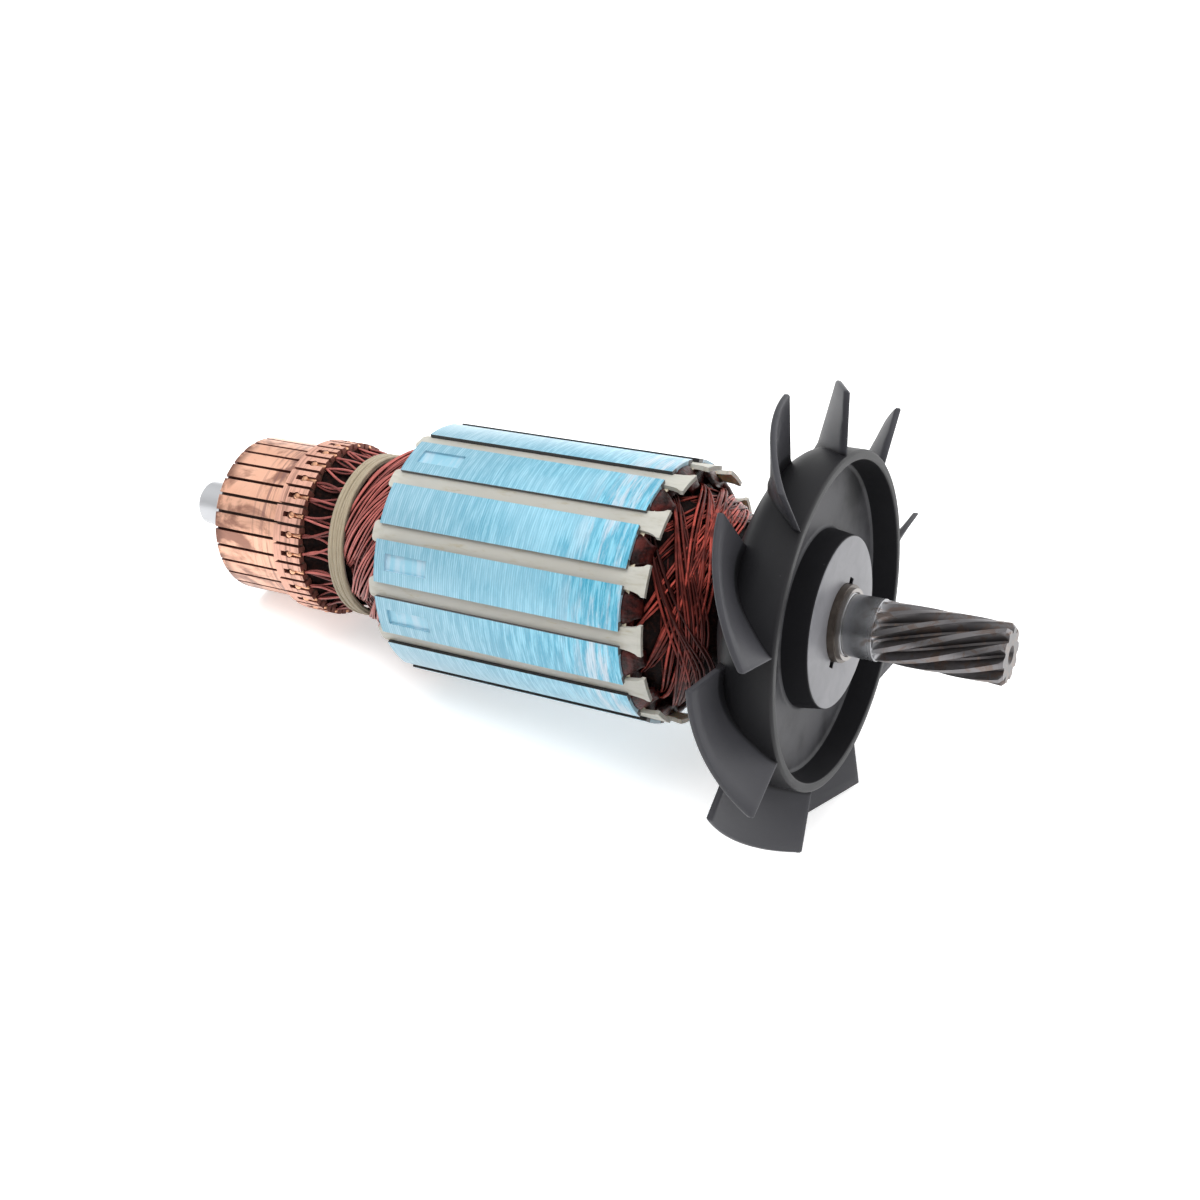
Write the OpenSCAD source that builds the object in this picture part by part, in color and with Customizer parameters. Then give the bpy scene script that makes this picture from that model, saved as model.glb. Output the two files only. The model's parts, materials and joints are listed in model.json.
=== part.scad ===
// Wound armature of a universal motor: shaft with helical pinion, slotted core, commutator and fan.
// Every piece is built along Z, with z = 0 at the middle of the core and the pinion towards +Z.
// laid() then turns the whole part to lie on two fan blades and the rear edge of the commutator.

/* [Shaft] */
// Diameter of the front bearing seat
seat_d = 12; // [10:0.5:13]
// Length of the front bearing seat, from the spacer ring to the pinion
seat_len = 6; // [4:0.5:12]
// Diameter of the rear bearing seat
rear_seat_d = 10; // [8:0.5:11]
// Chamfer on the front edge of the front bearing seat
seat_chamfer = 0.1; // [0.05:0.05:0.15]
// Length of the rear bearing seat
rear_seat_len = 16.1; // [10:0.1:24]
// Height of the shoulders between the bearing seats and the rest of the shaft
shoulder_h = 0.25; // [0.2:0.05:0.4]
// Chamfer on the shaft's rear end
shaft_chamfer = 0.6; // [0.2:0.1:1]
// Diameter of the centre holes in the shaft's ends
centre_hole_d = 3.6; // [2:0.2:5]

/* [Pinion] */
// Number of teeth cut in the front end of the shaft
pinion_teeth = 10; // [8:1:12]
// Amount by which the pinion's outer diameter is less than the bearing seat
pinion_relief = 0.3; // [0.1:0.1:1]
// Depth of the tooth gaps
tooth_depth = 1.6; // [1:0.1:2]
// Length of the toothed end
pinion_len = 24.5; // [16:0.5:32]
// Helix angle of the teeth
pinion_helix = 22; // [5:1:28]
// Length over which the tooth gaps run out towards the seat
runout_len = 5; // [3:0.5:8]
// Chamfer on the front ends of the teeth
pinion_chamfer = 0.7; // [0.3:0.1:1]
// Angle of the first tooth at the shaft's end
pinion_phase = 10.9; // [0:0.1:36]

/* [Core] */
// Diameter of the laminated core
core_d = 53.6; // [51:0.2:56]
// Length of the laminated core
core_len = 56; // [40:1:70]
// Number of slots in the core
slots = 14; // [12:2:16]
// Width of each tooth
tooth_w = 4.2; // [3.8:0.1:5]
// Width of each slot's mouth
slot_mouth = 3.2; // [2.6:0.1:3.4]
// Thickness of the tooth tips over the wedges
lip_t = 0.8; // [0.5:0.1:1.2]
// Depth of iron between the slots and the bore
yoke_t = 7; // [6:0.5:8]
// Diameter of the insulating sleeve between the shaft and the core
sleeve_d = 16; // [15:0.5:17]
// Length of each balancing pocket milled in a tooth
balance_len = 10; // [4:1:14]
// Depth of each balancing pocket
balance_depth = 0.6; // [0.3:0.1:1]
// Distance from the core's rear face to the balancing pockets
balance_inset = 2.5; // [1:0.5:6]

/* [Wedges and insulation] */
// Thickness of the slot wedges
wedge_t = 0.9; // [0.6:0.1:1.2]
// Width of a slot wedge inside the core
wedge_w = 4.4; // [4:0.1:4.8]
// Width of the spread front end of a slot wedge
wedge_end_w = 6.2; // [5:0.1:7]
// Length of a wedge in front of the core
wedge_front = 4.4; // [3:0.2:8]
// Length of a wedge behind the core
wedge_rear = 1.8; // [1:0.1:3]
// Thickness of the slot liners
liner_t = 0.25; // [0.15:0.05:0.4]
// Thickness of each end insulator
insulator_t = 0.8; // [0.5:0.1:1.5]

/* [Winding] */
// Length of the front winding head
front_head_len = 14.4; // [12:0.2:18]
// Largest diameter of the front winding head
front_head_d = 49.4; // [44:0.2:49.6]
// Diameter of the front winding head's nose
front_nose_d = 33; // [28:0.5:38]
// Length of the rear winding head
rear_head_len = 18; // [15:0.5:22]
// Diameter of the rear winding head at the core
rear_head_d = 46; // [42:0.5:48]
// Diameter of the neck under the lacing band
neck_d = 33.6; // [32:0.2:36]
// Depth of the furrows between the wire bundles
furrow_depth = 0.9; // [0.4:0.1:1.4]
// Turn of the wire bundles, in degrees for each millimetre along the head
bundle_turn = 3.4; // [0:0.2:5]
// Width of the lacing band
band_w = 3.8; // [2:0.2:5]
// Thickness of the lacing band
band_t = 1.2; // [0.6:0.1:1.8]
// Length of the leads between the neck and the commutator
lead_len = 6.6; // [5:0.2:9]
// Diameter of a lead wire
lead_d = 0.8; // [0.6:0.05:1]
// Angle by which the two leads of a bar spread apart
lead_spread = 4.8; // [3:0.1:5]

/* [Commutator] */
// Number of bars for each core slot
bars_per_slot = 2; // [2:1:2]
// Diameter of the brush track
brush_d = 34.6; // [33:0.2:36]
// Length of the brush track
brush_len = 18.1; // [14:0.1:24]
// Height of the risers over the brush track
riser_h = 1.85; // [1.2:0.05:2.5]
// Length of the risers
riser_len = 6.9; // [5.5:0.1:9]
// Width of the gap between two bars
bar_gap = 0.65; // [0.4:0.05:0.9]
// Depth of a bar under the brush track
bar_depth = 4.8; // [4:0.1:5.5]
// Depth of the cut between the bars
undercut = 1.2; // [0.6:0.1:1.6]
// Chamfer on the rear edge of the bars
bar_chamfer = 0.4; // [0.2:0.1:0.8]
// Diameter of the fused wire end on each riser
stake_d = 1.6; // [1.2:0.1:2]

/* [Fan] */
// Number of blades
blades = 9; // [7:1:11]
// Diameter over the blade tips
fan_d = 90.4; // [84:0.4:96]
// Outer diameter of the bowl
bowl_d = 66.2; // [62:0.2:70]
// Length of the fan's hub
fan_len = 17.9; // [15:0.1:22]
// Diameter of the bowl at its rear face
bowl_rear_d = 35; // [30:0.5:40]
// Radius of the bowl's shoulder
shoulder_r = 7.4; // [4:0.2:10]
// Length of the bowl's straight side at the rim, over the shoulder
rim_len = 10; // [8:0.5:12]
// Wall at the rim
rim_t = 1.9; // [1.4:0.1:3]
// Depth of the trough between the rim and the boss
trough_depth = 5.5; // [3:0.1:6]
// Diameter of the boss
boss_d = 33.6; // [30:0.2:38]
// Slope of the trough's walls, in millimetres over its depth
draft = 0.8; // [0.3:0.1:1.5]
// Thickness of the blades
blade_t = 1.3; // [1:0.1:2]
// Distance of the blades' front edges behind the rim
blade_setback = 0.2; // [0.1:0.1:2]
// Length of the blades along the shaft
blade_len = 9.5; // [7:0.1:12]
// Angle that one blade covers round the shaft
blade_sweep = 33.6; // [24:0.2:36]
// Camber of a blade at its tip
tip_camber = 0.75; // [0:0.05:1]
// Camber of a blade at its root
root_camber = 1.5; // [0.5:0.05:1.8]
// Angle of the first blade's front edge
blade_phase = 3.5; // [0:0.1:40]
// Gap between the front winding head and the fan
fan_gap = 0.8; // [0.4:0.1:2]

/* [Bush] */
// Diameter of the metal bush in the fan
bush_d = 15.2; // [14:0.2:18]
// Length by which the bush stands out of the boss
bush_stand = 1.3; // [0.8:0.1:2]
// Thickness of the spacer ring in front of the bush
spacer_t = 0.8; // [0.5:0.1:1.5]
// Diameter of the spacer ring
spacer_d = 14; // [13.4:0.1:15]
// Width of the two notches beside the bush
notch_w = 2.2; // [1.5:0.1:3]
// Length of each notch, outwards from the bush
notch_len = 1.3; // [0.8:0.1:2.5]
// Depth of the notches
notch_depth = 1.2; // [0.6:0.1:2]
// Angle of the first notch
notch_phase = 71; // [0:1:180]

/* [Fits] */
// Radial gap between pieces that are pressed, moulded or slid together
fit = 0.02; // [0.01:0.01:0.05]

/* [Hidden] */
$fn = 96;
eps = 0.01;

// Places along the shaft
core_front = core_len / 2;
core_rear = -core_len / 2;
coil_front = core_front + insulator_t;
coil_rear = core_rear - insulator_t;
fan_rear = coil_front + front_head_len + fan_gap;
fan_front = fan_rear + fan_len;
bush_front = fan_front + bush_stand;
spacer_front = bush_front + spacer_t;
pinion_rear = spacer_front + seat_len;
shaft_front = pinion_rear + pinion_len;
neck_rear = coil_rear - rear_head_len;
riser_front = neck_rear - lead_len;
riser_rear = riser_front - riser_len;
bar_rear = riser_rear - brush_len;
shaft_rear = bar_rear - rear_seat_len;

// Radii
shaft_r = seat_d / 2 + shoulder_h;
rear_shaft_r = rear_seat_d / 2 + shoulder_h;
sleeve_r = sleeve_d / 2;
core_r = core_d / 2;
groove_r = core_r - lip_t;
slot_top = groove_r - wedge_t - 0.1;
slot_bottom = sleeve_r + yoke_t;
brush_r = brush_d / 2;
riser_r = brush_r + riser_h;
bar_foot = brush_r - bar_depth;
neck_r = neck_d / 2;
lead_start_r = riser_r - lead_d - 0.2;
tip_r = fan_d / 2;
bowl_r = bowl_d / 2;
pinion_r = (seat_d - pinion_relief) / 2;

// Pitches
slot_pitch = 360 / slots;
bars = slots * bars_per_slot;
bar_pitch = 360 / bars;
blade_pitch = 360 / blades;

wedge_names = [for (i = [1:slots]) str("slot_wedge_", i < 10 ? "0" : "", i)];
bar_names = [for (i = [1:bars]) str("commutator_bar_", i < 10 ? "0" : "", i)];

// Resting pose. The fan stands on the rear corner of one blade and on the edge of the next one.
blade_steps = 10;
blade_rows = [for (i = [0:blade_steps]) i / blade_steps];
blade_corner_z = blade_z(1, tip_r) - blade_t / 2;
bar_edge_z = bar_rear + bar_chamfer;

function rest_slope(a) = (tip_r * cos(a) - brush_r) / (blade_corner_z - bar_edge_z);
function edge_reach(a) = max([for (s = blade_rows)
    tip_r * cos(blade_pitch - a - blade_sweep * (1 - s))
    - rest_slope(a) * (blade_z(s, tip_r) - blade_z(1, tip_r))]);
function rest_roll(low, high, n) =
    let (a = (low + high) / 2)
    n == 0 ? a
    : tip_r * cos(a) > edge_reach(a) ? rest_roll(a, high, n - 1)
    : rest_roll(low, a, n - 1);

corner_angle = rest_roll(0, blade_pitch / 2, 24);
tilt = atan(rest_slope(corner_angle));
resting_blade = 4;
down_angle = blade_phase - blade_sweep + resting_blade * blade_pitch - corner_angle;
lift = brush_r * cos(tilt) - bar_edge_z * sin(tilt);
end_shift = -((shaft_front + shaft_rear) * cos(tilt) + (pinion_r - rear_seat_d / 2) * sin(tilt)) / 2;

module laid()
    translate([end_shift, 0, lift])
        rotate([0, -tilt, 0])
            rotate([-90 - down_angle, 0, 0])
                rotate([90, 0, 90])
                    children();

// A ring about the shaft between two heights
module ring(r_in, r_out, z0, z1)
    translate([0, 0, z0])
        difference() {
            cylinder(r = r_out, h = z1 - z0);
            translate([0, 0, -1])
                cylinder(r = r_in, h = z1 - z0 + 2);
        }

// Arc of n + 1 points that rounds the corner b between the points a and c with radius r
function rounded(a, b, c, r, n) =
    let (
        u = (a - b) / norm(a - b),
        v = (c - b) / norm(c - b),
        half = acos(u * v) / 2,
        centre = b + (u + v) / norm(u + v) * r / sin(half),
        p = b + u * r / tan(half) - centre,
        q = b + v * r / tan(half) - centre
    )
    [for (i = [0:n]) let (w = p * (n - i) + q * i) centre + w / norm(w) * r];

// Closed polyhedron from rings of points: each ring has the same number, counted about +Z
module loft(rings) {
    n = len(rings[0]);
    m = len(rings);
    points = [for (ring = rings) each ring];
    faces = concat(
        [[for (i = [0:n - 1]) i]],
        [[for (i = [n - 1:-1:0]) (m - 1) * n + i]],
        [for (j = [0:m - 2], i = [0:n - 1])
            let (a = j * n + i, b = j * n + (i + 1) % n) [a, a + n, b]],
        [for (j = [0:m - 2], i = [0:n - 1])
            let (a = j * n + i, b = j * n + (i + 1) % n) [b, a + n, b + n]]
    );
    polyhedron(points, faces);
}

// ---- Shaft ----

tooth_pitch = 360 / pinion_teeth;
crest_half = tooth_pitch * 0.15;
root_half = tooth_pitch * 0.41;
turn_rate = -tan(pinion_helix) / pinion_r * 180 / PI;

// Height of the cutter above full depth, at a distance before the end of the run-out
function cutter_lift(z) =
    let (d = max(0, pinion_rear + runout_len - z) / runout_len)
    tooth_depth * (1 - sqrt(max(0, 1 - d * d)));

function pinion_section(z, limit) =
    let (
        up = cutter_lift(z),
        open = 1 - up / tooth_depth,
        crest = root_half - (root_half - crest_half) * open,
        turn = pinion_phase + turn_rate * (z - shaft_front),
        root_r = min(limit, pinion_r - tooth_depth + up),
        tip = min(limit, pinion_r)
    )
    [for (t = [0:pinion_teeth - 1])
        each [for (p = [[-root_half, root_r], [-crest, tip], [0, tip], [crest, tip], [root_half, root_r]])
            let (a = turn + t * tooth_pitch + p[0]) [p[1] * cos(a), p[1] * sin(a), z]]];

// The toothed end starts a little way inside the seat, so the two join
module pinion() {
    runout_steps = 6;
    tooth_steps = 12;
    root_len = shaft_r / 4;
    tooth_from = pinion_rear + runout_len;
    tooth_to = shaft_front - pinion_chamfer;
    levels = concat(
        [for (i = [0:runout_steps - 1]) pinion_rear + runout_len * i / runout_steps],
        [for (i = [0:tooth_steps]) tooth_from + (tooth_to - tooth_from) * i / tooth_steps]
    );
    loft(concat(
        [pinion_section(pinion_rear - root_len, pinion_r)],
        [for (z = levels) pinion_section(z, pinion_r)],
        [pinion_section(shaft_front, pinion_r - pinion_chamfer)]
    ));
}

// Cone for a lathe centre, sunk into an end of the shaft
module centre_hole(z, side) {
    centre_angle = 60;
    hole_r = centre_hole_d / 2;
    depth = hole_r / tan(centre_angle / 2);
    over = 1;
    translate([0, 0, z])
        mirror([0, 0, side < 0 ? 1 : 0])
            translate([0, 0, -depth])
                cylinder(r1 = 0, r2 = hole_r * (depth + over) / depth, h = depth + over);
}

// The shoulders slope down to the seats inside the pieces pressed on behind them
module shaft()
    color("silver")
    laid()
        difference() {
            rear_r = rear_seat_d / 2;
            union() {
                rotate_extrude()
                    polygon([
                        [0, shaft_rear],
                        [rear_r - shaft_chamfer, shaft_rear],
                        [rear_r, shaft_rear + shaft_chamfer],
                        [rear_r, bar_rear],
                        [rear_shaft_r, bar_rear + shoulder_h],
                        [rear_shaft_r, riser_front],
                        [shaft_r, riser_front],
                        [shaft_r, spacer_front - shoulder_h],
                        [seat_d / 2, spacer_front],
                        [seat_d / 2, pinion_rear],
                        [seat_d / 2 - seat_chamfer, pinion_rear + seat_chamfer],
                        [0, pinion_rear + seat_chamfer]
                    ]);
                pinion();
            }
            centre_hole(shaft_front, 1);
            centre_hole(shaft_rear, -1);
        }

module shaft_sleeve()
    color("#5a2a20")
    laid() ring(shaft_r + fit, sleeve_r, riser_front, fan_rear);

// ---- Core ----

// Half width of a slot between parallel teeth, at a radius
function slot_half(r) = r * tan(slot_pitch / 2) - tooth_w / 2 / cos(slot_pitch / 2);

// Outline of the space for the coils, drawn in by an inset
module slot_space(inset) {
    side = inset / cos(slot_pitch / 2);
    low = slot_bottom + inset;
    high = slot_top - inset;
    corner = 0.8;
    half = [
        [low, (slot_half(low) - side) / 2],
        [low + corner, slot_half(low + corner) - side],
        [high, slot_half(high) - side]
    ];
    polygon(concat(
        half,
        [for (i = [2:-1:0]) [half[i][0], -half[i][1]]]
    ));
}

module each_slot()
    for (i = [0:slots - 1])
        rotate((i + 0.5) * slot_pitch)
            children();

module lamination_outline(r)
    difference() {
        circle(r);
        circle(sleeve_r + fit);
        each_slot() {
            slot_space(0);
            translate([slot_top - eps, -wedge_w / 2 - 0.1])
                square([groove_r - slot_top + eps, wedge_w + 0.2]);
            translate([groove_r - eps, -slot_mouth / 2])
                square([core_r, slot_mouth]);
        }
    }

module balance_pocket() {
    pocket_w = 3.5;
    translate([core_r - balance_depth, -pocket_w / 2, core_rear + balance_inset])
        cube([2, pocket_w, balance_len]);
}

balanced_teeth = [12, 0, 1];

module lamination_stack()
    color("lightskyblue")
    laid()
        difference() {
            translate([0, 0, core_rear])
                linear_extrude(core_len)
                    lamination_outline(core_r);
            for (i = balanced_teeth)
                rotate(i * slot_pitch)
                    balance_pocket();
        }

module end_insulator(z) {
    set_back = 0.5;
    translate([0, 0, z])
        linear_extrude(insulator_t)
            lamination_outline(core_r - set_back);
}

module front_end_insulator()
    color("#4a1c18")
    laid() end_insulator(core_front);

module rear_end_insulator()
    color("#4a1c18")
    laid() end_insulator(coil_rear);

module slot_liners()
    color("#d9cfae")
    laid()
        translate([0, 0, coil_rear])
            linear_extrude(coil_front - coil_rear)
                each_slot()
                    difference() {
                        slot_space(fit);
                        slot_space(fit + liner_t);
                    }

// Outline of a wedge seen from outside the core, with the shaft's direction along Y
module wedge_outline() {
    end = core_front + wedge_front;
    rear = core_rear - wedge_rear;
    nose = 1;
    side = wedge_w / 2;
    flare = wedge_end_w / 2 - side;
    // Share of the flare's length and of its width, from the core towards the end
    tail = [[0.15, 0], [0.45, 0.18], [0.7, 0.5], [0.85, 1], [1, 1]];
    tail_steps = len(tail) - 1;
    polygon(concat(
        rounded([side, end], [side, rear], [0, rear], nose, 4),
        rounded([0, rear], [-side, rear], [-side, end], nose, 4),
        [for (p = tail) [-side - flare * p[1], core_front + wedge_front * p[0]]],
        [for (i = [tail_steps:-1:0]) [side + flare * tail[i][1], core_front + wedge_front * tail[i][0]]]
    ));
}

module slot_wedge(i)
    color("ivory")
    laid()
        rotate((i + 0.5) * slot_pitch)
            intersection() {
                ring(groove_r - wedge_t, groove_r - fit, 2 * core_rear, 2 * core_front);
                rotate([90, 0, 90])
                    linear_extrude(core_r)
                        wedge_outline();
            }

// ---- Winding ----

module slot_conductors()
    color("#8a2f22")
    laid()
        translate([0, 0, coil_rear])
            linear_extrude(coil_front - coil_rear)
                each_slot() slot_space(fit + liner_t + fit);

// Ring of a winding head: rounded bundles with furrows between them
furrow_steps = 6;
function bundle_ring(r, z, depth, turn) =
    [for (i = [0:slots * furrow_steps - 1])
        let (
            a = i * slot_pitch / furrow_steps,
            bundle_r = r - depth * (1 - abs(sin(180 * i / furrow_steps)))
        )
        [bundle_r * cos(a + turn), bundle_r * sin(a + turn), z]];

// Radius of the front head: full near the core and drawn in to its nose
function front_head_r(f) =
    front_head_d / 2 - (front_head_d - front_nose_d) / 2 * pow(f, 1.4);

module front_winding_head()
    color("#8a2f22")
    laid()
        difference() {
            steps = 9;
            loft([for (j = [0:steps])
                let (f = j / steps, z = front_head_len * f)
                bundle_ring(front_head_r(f), coil_front + z, furrow_depth, z * bundle_turn)]);
            translate([0, 0, coil_front - 1])
                cylinder(r = sleeve_r + fit, h = front_head_len + 2);
        }

module rear_winding_head()
    color("#8a2f22")
    laid() {
        steps = 8;
        neck_front = neck_rear + band_w;
        cone_len = coil_rear - neck_front;
        difference() {
            loft(concat(
                [bundle_ring(neck_r, neck_rear, 0, -cone_len * bundle_turn)],
                [for (j = [0:steps])
                    let (f = j / steps, z = cone_len * f)
                    bundle_ring(
                        neck_r + (rear_head_d / 2 - neck_r) * sin(90 * f),
                        neck_front + z,
                        furrow_depth * min(1, 3 * f),
                        (z - cone_len) * bundle_turn
                    )]
            ));
            translate([0, 0, neck_rear - 1])
                cylinder(r = sleeve_r + fit, h = rear_head_len + 2);
        }
    }

module lacing_band()
    color("#b9ab86")
    laid() {
        inner = neck_r + fit;
        outer = inner + band_t;
        front = neck_rear + band_w;
        edge = 0.5;
        rotate_extrude()
            polygon(concat(
                [[inner, front], [inner, neck_rear]],
                rounded([inner, neck_rear], [outer, neck_rear], [outer, front], edge, 4),
                rounded([outer, neck_rear], [outer, front], [inner, front], edge, 4)
            ));
    }

varnish_front_r = neck_r - 0.6;
varnish_rear_r = lead_start_r - lead_d / 2 - 0.1;

module lead_varnish()
    color("#1c1210")
    laid()
        rotate_extrude()
            polygon([
                [sleeve_r + fit, riser_front],
                [varnish_rear_r, riser_front],
                [varnish_front_r, neck_rear],
                [sleeve_r + fit, neck_rear]
            ]);

// Straight six-sided wire between two points
module wire(from, to, d) {
    way = to - from;
    length = norm(way);
    u = cross(way, [way[1], -way[2], way[0]]);
    a = u / norm(u) * d / 2;
    b = cross(way, a) / length;
    loft([for (p = [from, to]) [for (i = [0:5]) p + a * cos(60 * i) + b * sin(60 * i)]]);
}

function on_cylinder(r, angle, z) = [r * cos(angle), r * sin(angle), z];

stake_z = riser_front - riser_len * 0.42;

module lead_wires()
    color("#a03a28")
    laid()
        for (i = [0:bars - 1]) {
            centre = i * bar_pitch;
            end_r = varnish_front_r + lead_d / 2 + 0.1;
            for (side = [-1, 1])
                wire(
                    on_cylinder(lead_start_r, centre, riser_front - eps),
                    on_cylinder(end_r, centre + side * lead_spread, neck_rear + eps),
                    lead_d
                );
            wire(
                on_cylinder(lead_start_r, centre, riser_front + eps),
                on_cylinder(lead_start_r, centre, stake_z),
                lead_d
            );
            translate(on_cylinder(riser_r - stake_d * 0.3, centre, stake_z))
                sphere(d = stake_d, $fn = 16);
        }

// ---- Commutator ----

// Half section of the ring of bars, with a hooked foot for the moulding
module bar_section() {
    waist = brush_r - bar_depth * 0.5;
    hook = 1;
    polygon([
        [waist, bar_rear],
        [brush_r - bar_chamfer, bar_rear],
        [brush_r, bar_rear + bar_chamfer],
        [brush_r, riser_rear],
        [riser_r, riser_rear],
        [riser_r, riser_front],
        [waist, riser_front],
        [waist - hook, riser_front - 2 * hook],
        [bar_foot, riser_front - hook],
        [bar_foot, bar_rear + hook],
        [waist - hook, bar_rear + 2 * hook]
    ]);
}

// Sector of one bar between two gaps of the given width
module bar_sector(gap) {
    apex = gap / 2 / sin(bar_pitch / 2);
    reach = riser_r * 1.2;
    polygon([
        [apex, 0],
        [apex + reach, reach * tan(bar_pitch / 2)],
        [apex + reach, -reach * tan(bar_pitch / 2)]
    ]);
}

module commutator_bar(i)
    color("#d98a5f")
    laid()
        rotate(i * bar_pitch)
            difference() {
                intersection() {
                    rotate_extrude()
                        bar_section();
                    translate([0, 0, bar_rear - 1])
                        linear_extrude(riser_front - bar_rear + 2)
                            bar_sector(bar_gap);
                }
                wire_slot();
            }

// Slot and pocket in a riser for the ends of two leads
module wire_slot() {
    slot_w = lead_d + 0.3;
    slot_floor = lead_start_r - lead_d / 2 - 0.1;
    slot_len = riser_len * 0.7;
    pocket_floor = riser_r - stake_d * 0.8 - fit;
    translate([slot_floor, -slot_w / 2, riser_front - slot_len])
        cube([2 * (riser_r - slot_floor), slot_w, slot_len + 1]);
    translate([pocket_floor, 0, stake_z])
        rotate([0, 90, 0])
            cylinder(r = stake_d / 2 + fit, h = 2 * (riser_r - pocket_floor), $fn = 32);
}

module commutator_moulding()
    color("#2a1a14")
    laid()
        difference() {
            rotate_extrude()
                polygon([
                    [rear_shaft_r + fit, bar_rear],
                    [brush_r - undercut, bar_rear],
                    [brush_r - undercut, riser_rear],
                    [riser_r - undercut, riser_rear],
                    [riser_r - undercut, riser_front],
                    [rear_shaft_r + fit, riser_front]
                ]);
            intersection() {
                rotate_extrude()
                    bar_section();
                translate([0, 0, bar_rear - 1])
                    linear_extrude(riser_front - bar_rear + 2)
                        for (i = [0:bars - 1])
                            rotate(i * bar_pitch)
                                bar_sector(bar_gap - 2 * fit);
            }
        }

// ---- Fan ----

// Half section of the bowl's outside from the rear face to the rim, straight, round and straight
bowl_bend = [bowl_r, fan_front - rim_len];
bowl_side = rounded([bowl_rear_d / 2, fan_rear], bowl_bend, [bowl_r, fan_front], shoulder_r, 8);
bowl_points = concat([[bowl_rear_d / 2, fan_rear]], bowl_side, [[bowl_r, fan_front]]);

// Radius of the bowl's outside at a height
function bowl_radius(z) = lookup(z, [for (p = bowl_points) [p[1], p[0]]]);

module fan_body() {
    floor_z = fan_front - trough_depth;
    rim_edge = 0.6;
    rotate_extrude()
        polygon(concat(
            [[bush_d / 2 + fit, fan_rear]],
            [for (i = [0:len(bowl_points) - 2]) bowl_points[i]],
            [[bowl_r, fan_front - rim_edge], [bowl_r - rim_edge, fan_front]],
            [[bowl_r - rim_t, fan_front], [bowl_r - rim_t - draft, floor_z]],
            [[boss_d / 2 + draft, floor_z], [boss_d / 2, fan_front - rim_edge / 2]],
            [[boss_d / 2 - rim_edge / 2, fan_front], [bush_d / 2 + fit, fan_front]]
        ));
}

// Height of a blade's middle surface: s runs from 0 at the front edge to 1 at the rear edge
function blade_z(s, r) =
    let (
        f = (r - bowl_r) / (tip_r - bowl_r),
        camber = root_camber + (tip_camber - root_camber) * f
    )
    fan_front - blade_setback - blade_t / 2 - blade_len * (s + camber * s * (1 - s));

// Each ring of points is the blade's section at one angle: root and tip, behind and in front
module blade() {
    sink = 1;
    up = [0, 0, blade_t / 2];
    loft([for (s = blade_rows)
        let (
            root_r = bowl_radius(blade_z(s, bowl_r) - blade_t / 2) - sink,
            root = on_cylinder(root_r, -blade_sweep * s, blade_z(s, root_r)),
            tip = on_cylinder(tip_r, -blade_sweep * s, blade_z(s, tip_r))
        )
        [root - up, tip - up, tip + up, root + up]]);
}

module fan()
    color("#2b2b2e")
    laid()
        difference() {
            union() {
                fan_body();
                for (i = [0:blades - 1])
                    rotate(blade_phase + i * blade_pitch)
                        blade();
            }
            for (i = [0, 1])
                rotate(notch_phase + 180 * i)
                    translate([bush_d / 2 - notch_len, -notch_w / 2, fan_front - notch_depth])
                        cube([2 * notch_len, notch_w, 2 * notch_depth]);
        }

module fan_bush()
    color("#8f8468")
    laid() ring(shaft_r + fit, bush_d / 2, fan_rear, bush_front);

module spacer_ring()
    color("silver")
    laid() ring(shaft_r + fit, spacer_d / 2, bush_front, spacer_front);

shaft();
shaft_sleeve();
lamination_stack();
front_end_insulator();
rear_end_insulator();
slot_liners();
slot_conductors();
front_winding_head();
rear_winding_head();
lacing_band();
lead_varnish();
lead_wires();
commutator_moulding();
fan();
fan_bush();
spacer_ring();
for (i = [0:slots - 1]) slot_wedge(i);
for (i = [0:bars - 1]) commutator_bar(i);
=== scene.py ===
import json
import math
import random

import bpy
from mathutils import Matrix, Vector

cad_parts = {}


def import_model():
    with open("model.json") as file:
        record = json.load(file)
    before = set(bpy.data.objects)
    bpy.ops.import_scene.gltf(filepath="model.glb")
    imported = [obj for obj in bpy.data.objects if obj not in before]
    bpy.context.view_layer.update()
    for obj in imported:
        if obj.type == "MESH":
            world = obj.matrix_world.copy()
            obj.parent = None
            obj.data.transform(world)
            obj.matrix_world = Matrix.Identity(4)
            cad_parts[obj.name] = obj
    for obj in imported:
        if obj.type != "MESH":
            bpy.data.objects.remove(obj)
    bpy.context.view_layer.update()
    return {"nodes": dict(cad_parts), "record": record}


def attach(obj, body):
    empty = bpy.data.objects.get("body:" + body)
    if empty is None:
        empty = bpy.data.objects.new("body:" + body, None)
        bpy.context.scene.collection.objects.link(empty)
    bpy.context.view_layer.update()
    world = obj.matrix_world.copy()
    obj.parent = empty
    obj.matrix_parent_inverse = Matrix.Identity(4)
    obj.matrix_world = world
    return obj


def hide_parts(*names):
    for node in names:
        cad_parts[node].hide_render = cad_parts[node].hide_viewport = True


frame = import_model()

# A wound motor armature. The pieces are made in millimetres in the shaft's own frame: Z runs along
# the shaft with 0 at the middle of the core, and X points at the middle of the first commutator bar.
MM = 0.001
SLOTS = 14
BARS = 28
BLADES = 9
TEETH = 10
SLOT_PITCH = math.tau / SLOTS
BAR_PITCH = math.tau / BARS
BLADE_PITCH = math.tau / BLADES

record = frame["record"]
nodes = frame["nodes"]


# ---- The shaft's frame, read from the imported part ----

def mount(name):
    return next(m for m in record["mounts"] if m["name"] == name)


def mesh_centre(node):
    total = Vector()
    for vertex in nodes[node].data.vertices:
        total += vertex.co
    return total / len(nodes[node].data.vertices)


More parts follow.
